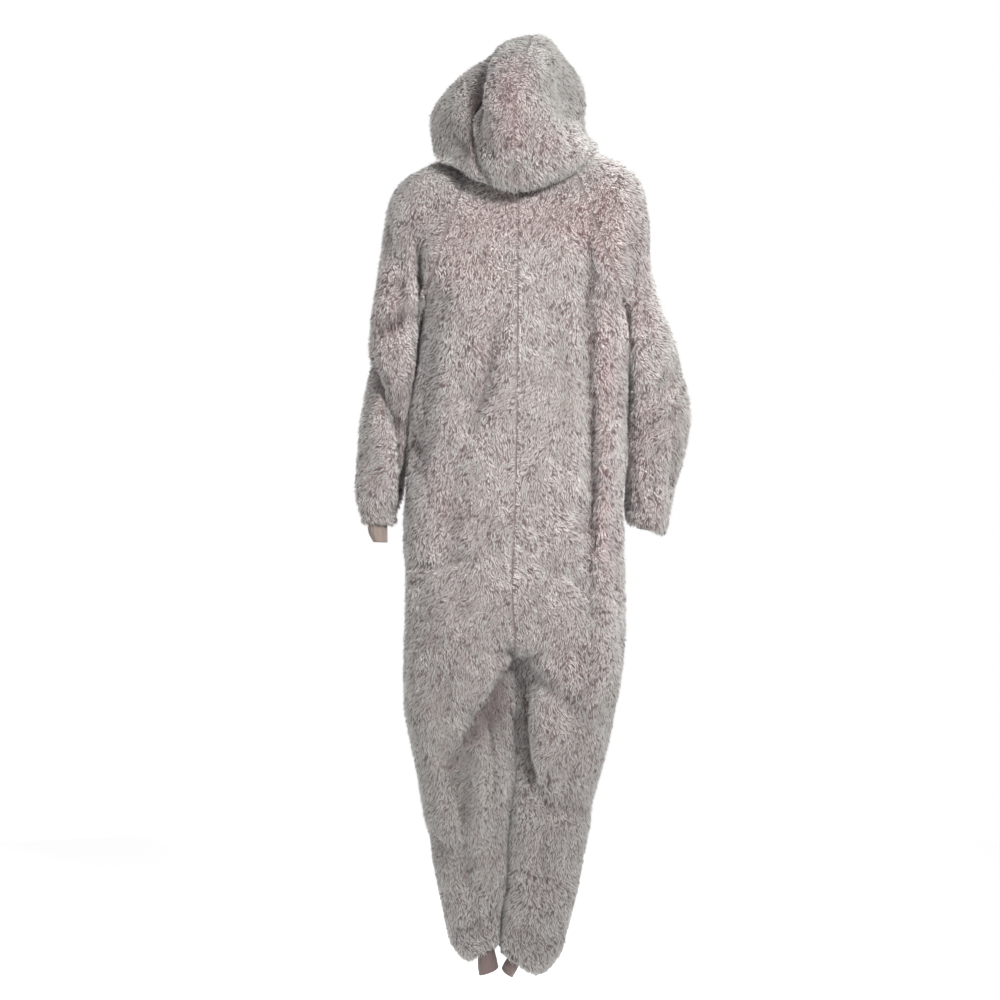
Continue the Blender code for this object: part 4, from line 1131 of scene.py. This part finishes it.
def add_tapes(nodes):
    """The zip's tapes, and the points of each."""
    weave = tape_material()
    tapes = {}
    for side in SIDES:
        name = f"zip_tape_{side}"
        points, quads = layer_surface(nodes[name], TAPE, TAPE_LEVELS)
        quads = faced_out(points, quads, np.array((0.0, -1.0, 0.0)))
        points[points[:, 2] < points[:, 2].min() + 0.001, 2] -= TAPE_TAIL
        normals = normals_of(points, quads)
        wall, faces = closed_wall(points, normals, quads, TAPE)
        piece = mesh_object(f"woven_{name}", wall, faces, [weave])
        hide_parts(name)
        tapes[side] = points
    return tapes


def add_zip(nodes, metal):
    """The zip's tapes, its closed chain of teeth and its stops. The slider and its tab stay as packed."""
    tapes = add_tapes(nodes)
    away, nearest = nearest_distance(tapes["left"], tapes["right"])
    inner = away < TAPES_APART
    middle = (tapes["left"][inner] + tapes["right"][nearest[inner]]) / 2
    middle = middle[np.argsort(-middle[:, 2])]
    run = np.concatenate(([0], np.cumsum(np.linalg.norm(np.diff(middle, axis=0), axis=1))))

    def chain_at(steps):
        """Places on the chain, the way along it and the way out of it."""
        offsets = (0, CHAIN_STEP, -CHAIN_STEP)
        place, ahead, behind = (
            np.stack([np.interp(steps + offset, run, middle[:, k]) for k in range(3)], axis=1)
            for offset in offsets
        )
        along = unit(ahead - behind)
        outs = unit(np.cross(along, (1.0, 0.0, 0.0)))
        outs *= np.where(outs[:, 1:2] > 0, -1, 1)
        return place, along, outs

    below_slider = np.interp(-(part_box("zip_slider")[0].z + CHAIN_START), -middle[:, 2], run)
    steps = np.arange(below_slider, run[-1] - CHAIN_STEP, TOOTH_PITCH)
    hand = np.where(np.arange(len(steps)) % 2, 1.0, -1.0)[:, None]
    halves = np.tile(TOOTH_HALVES, (len(steps), 1))
    shifts = hand * (TOOTH_SHIFT, 0, 0)
    add_bars("zip_teeth", chain_at(steps), shifts, halves, TOOTH_INSET, teeth_material())

    steps = np.array([stop["along"] for stop in STOPS]) % run[-1]
    shifts = np.array([(stop["shift_x"], 0, 0) for stop in STOPS])
    halves = np.array([(stop["half_x"], stop["half_z"], stop["half_y"]) for stop in STOPS])
    add_bars("zip_stops", chain_at(steps), shifts, halves, STOP_INSET, metal)


# ---------------------------------------------------------------- studio


def add_floor(height):
    """A pale disc that glows a little, so that it shows as white as the surroundings."""
    mesh = bmesh.new()
    bmesh.ops.create_circle(mesh, cap_ends=True, segments=96, radius=FLOOR_RADIUS)
    data = bpy.data.meshes.new("floor")
    mesh.to_mesh(data)
    mesh.free()
    data.materials.append(floor_material())
    floor = placed("floor", data)
    floor.location = (0, 0, height)


def add_surroundings():
    """Soft light from all round, which the camera sees as white."""
    world = bpy.data.worlds.new("studio")
    world.use_nodes = True
    tree = world.node_tree
    direct = tree.nodes.new("ShaderNodeLightPath")
    shade = tree.nodes.new("ShaderNodeMix")
    shade.data_type = "RGBA"
    shade.inputs[6].default_value = grey(AMBIENT)
    shade.inputs[7].default_value = grey(1.0)
    tree.links.new(direct.outputs["Is Camera Ray"], shade.inputs[0])
    tree.links.new(shade.outputs[2], tree.nodes["Background"].inputs["Color"])
    bpy.context.scene.world = world


def add_lamps():
    """Round lamps, each aimed at a height on the garment's axis."""
    for row in LAMPS:
        light = bpy.data.lights.new(row["name"], "AREA")
        light.shape = "DISK"
        light.size = row["size"]
        light.energy = row["power"]
        light.spread = math.radians(row["spread"])
        lamp = placed(row["name"], light)
        lamp.location = row["place"]
        way = Vector((0, 0, row["aim_z"])) - Vector(row["place"])
        lamp.rotation_euler = way.to_track_quat("-Z", "Y").to_euler()


def add_camera():
    """The camera, which looks level at the garment's back."""
    data = bpy.data.cameras.new("camera")
    data.lens = CAMERA_LENS
    data.clip_end = CAMERA_CLIP
    camera = placed("camera", data)
    camera.location = (VIEW_CENTRE[0], VIEW_WIDTH * CAMERA_LENS / data.sensor_width, VIEW_CENTRE[1])
    camera.rotation_euler = (math.radians(90), 0, math.radians(180))
    bpy.context.scene.camera = camera


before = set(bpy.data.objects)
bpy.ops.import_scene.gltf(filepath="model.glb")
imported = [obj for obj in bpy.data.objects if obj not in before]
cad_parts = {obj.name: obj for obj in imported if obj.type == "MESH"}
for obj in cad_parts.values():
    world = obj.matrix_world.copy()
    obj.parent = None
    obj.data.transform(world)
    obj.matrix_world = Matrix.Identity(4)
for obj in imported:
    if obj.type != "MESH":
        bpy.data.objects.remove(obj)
cad_low, cad_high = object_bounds()
surface_points, surface_quads, surface_panels = plush_surface(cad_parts)
surface_points, surface_crease_shade = creased(surface_points, surface_quads, surface_panels)
add_plush(surface_points, surface_quads, surface_panels, surface_crease_shade)
add_cuffs(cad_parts)
nickel = metal_material()
add_zip(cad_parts, nickel)
for name in ("zip_slider", "zip_pull"):
    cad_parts[name].material_slots[0].material = nickel
add_floor(cad_low.z - FLOOR_BELOW)
add_surroundings()
add_lamps()
add_camera()
bpy.context.scene.view_settings.view_transform = "Standard"
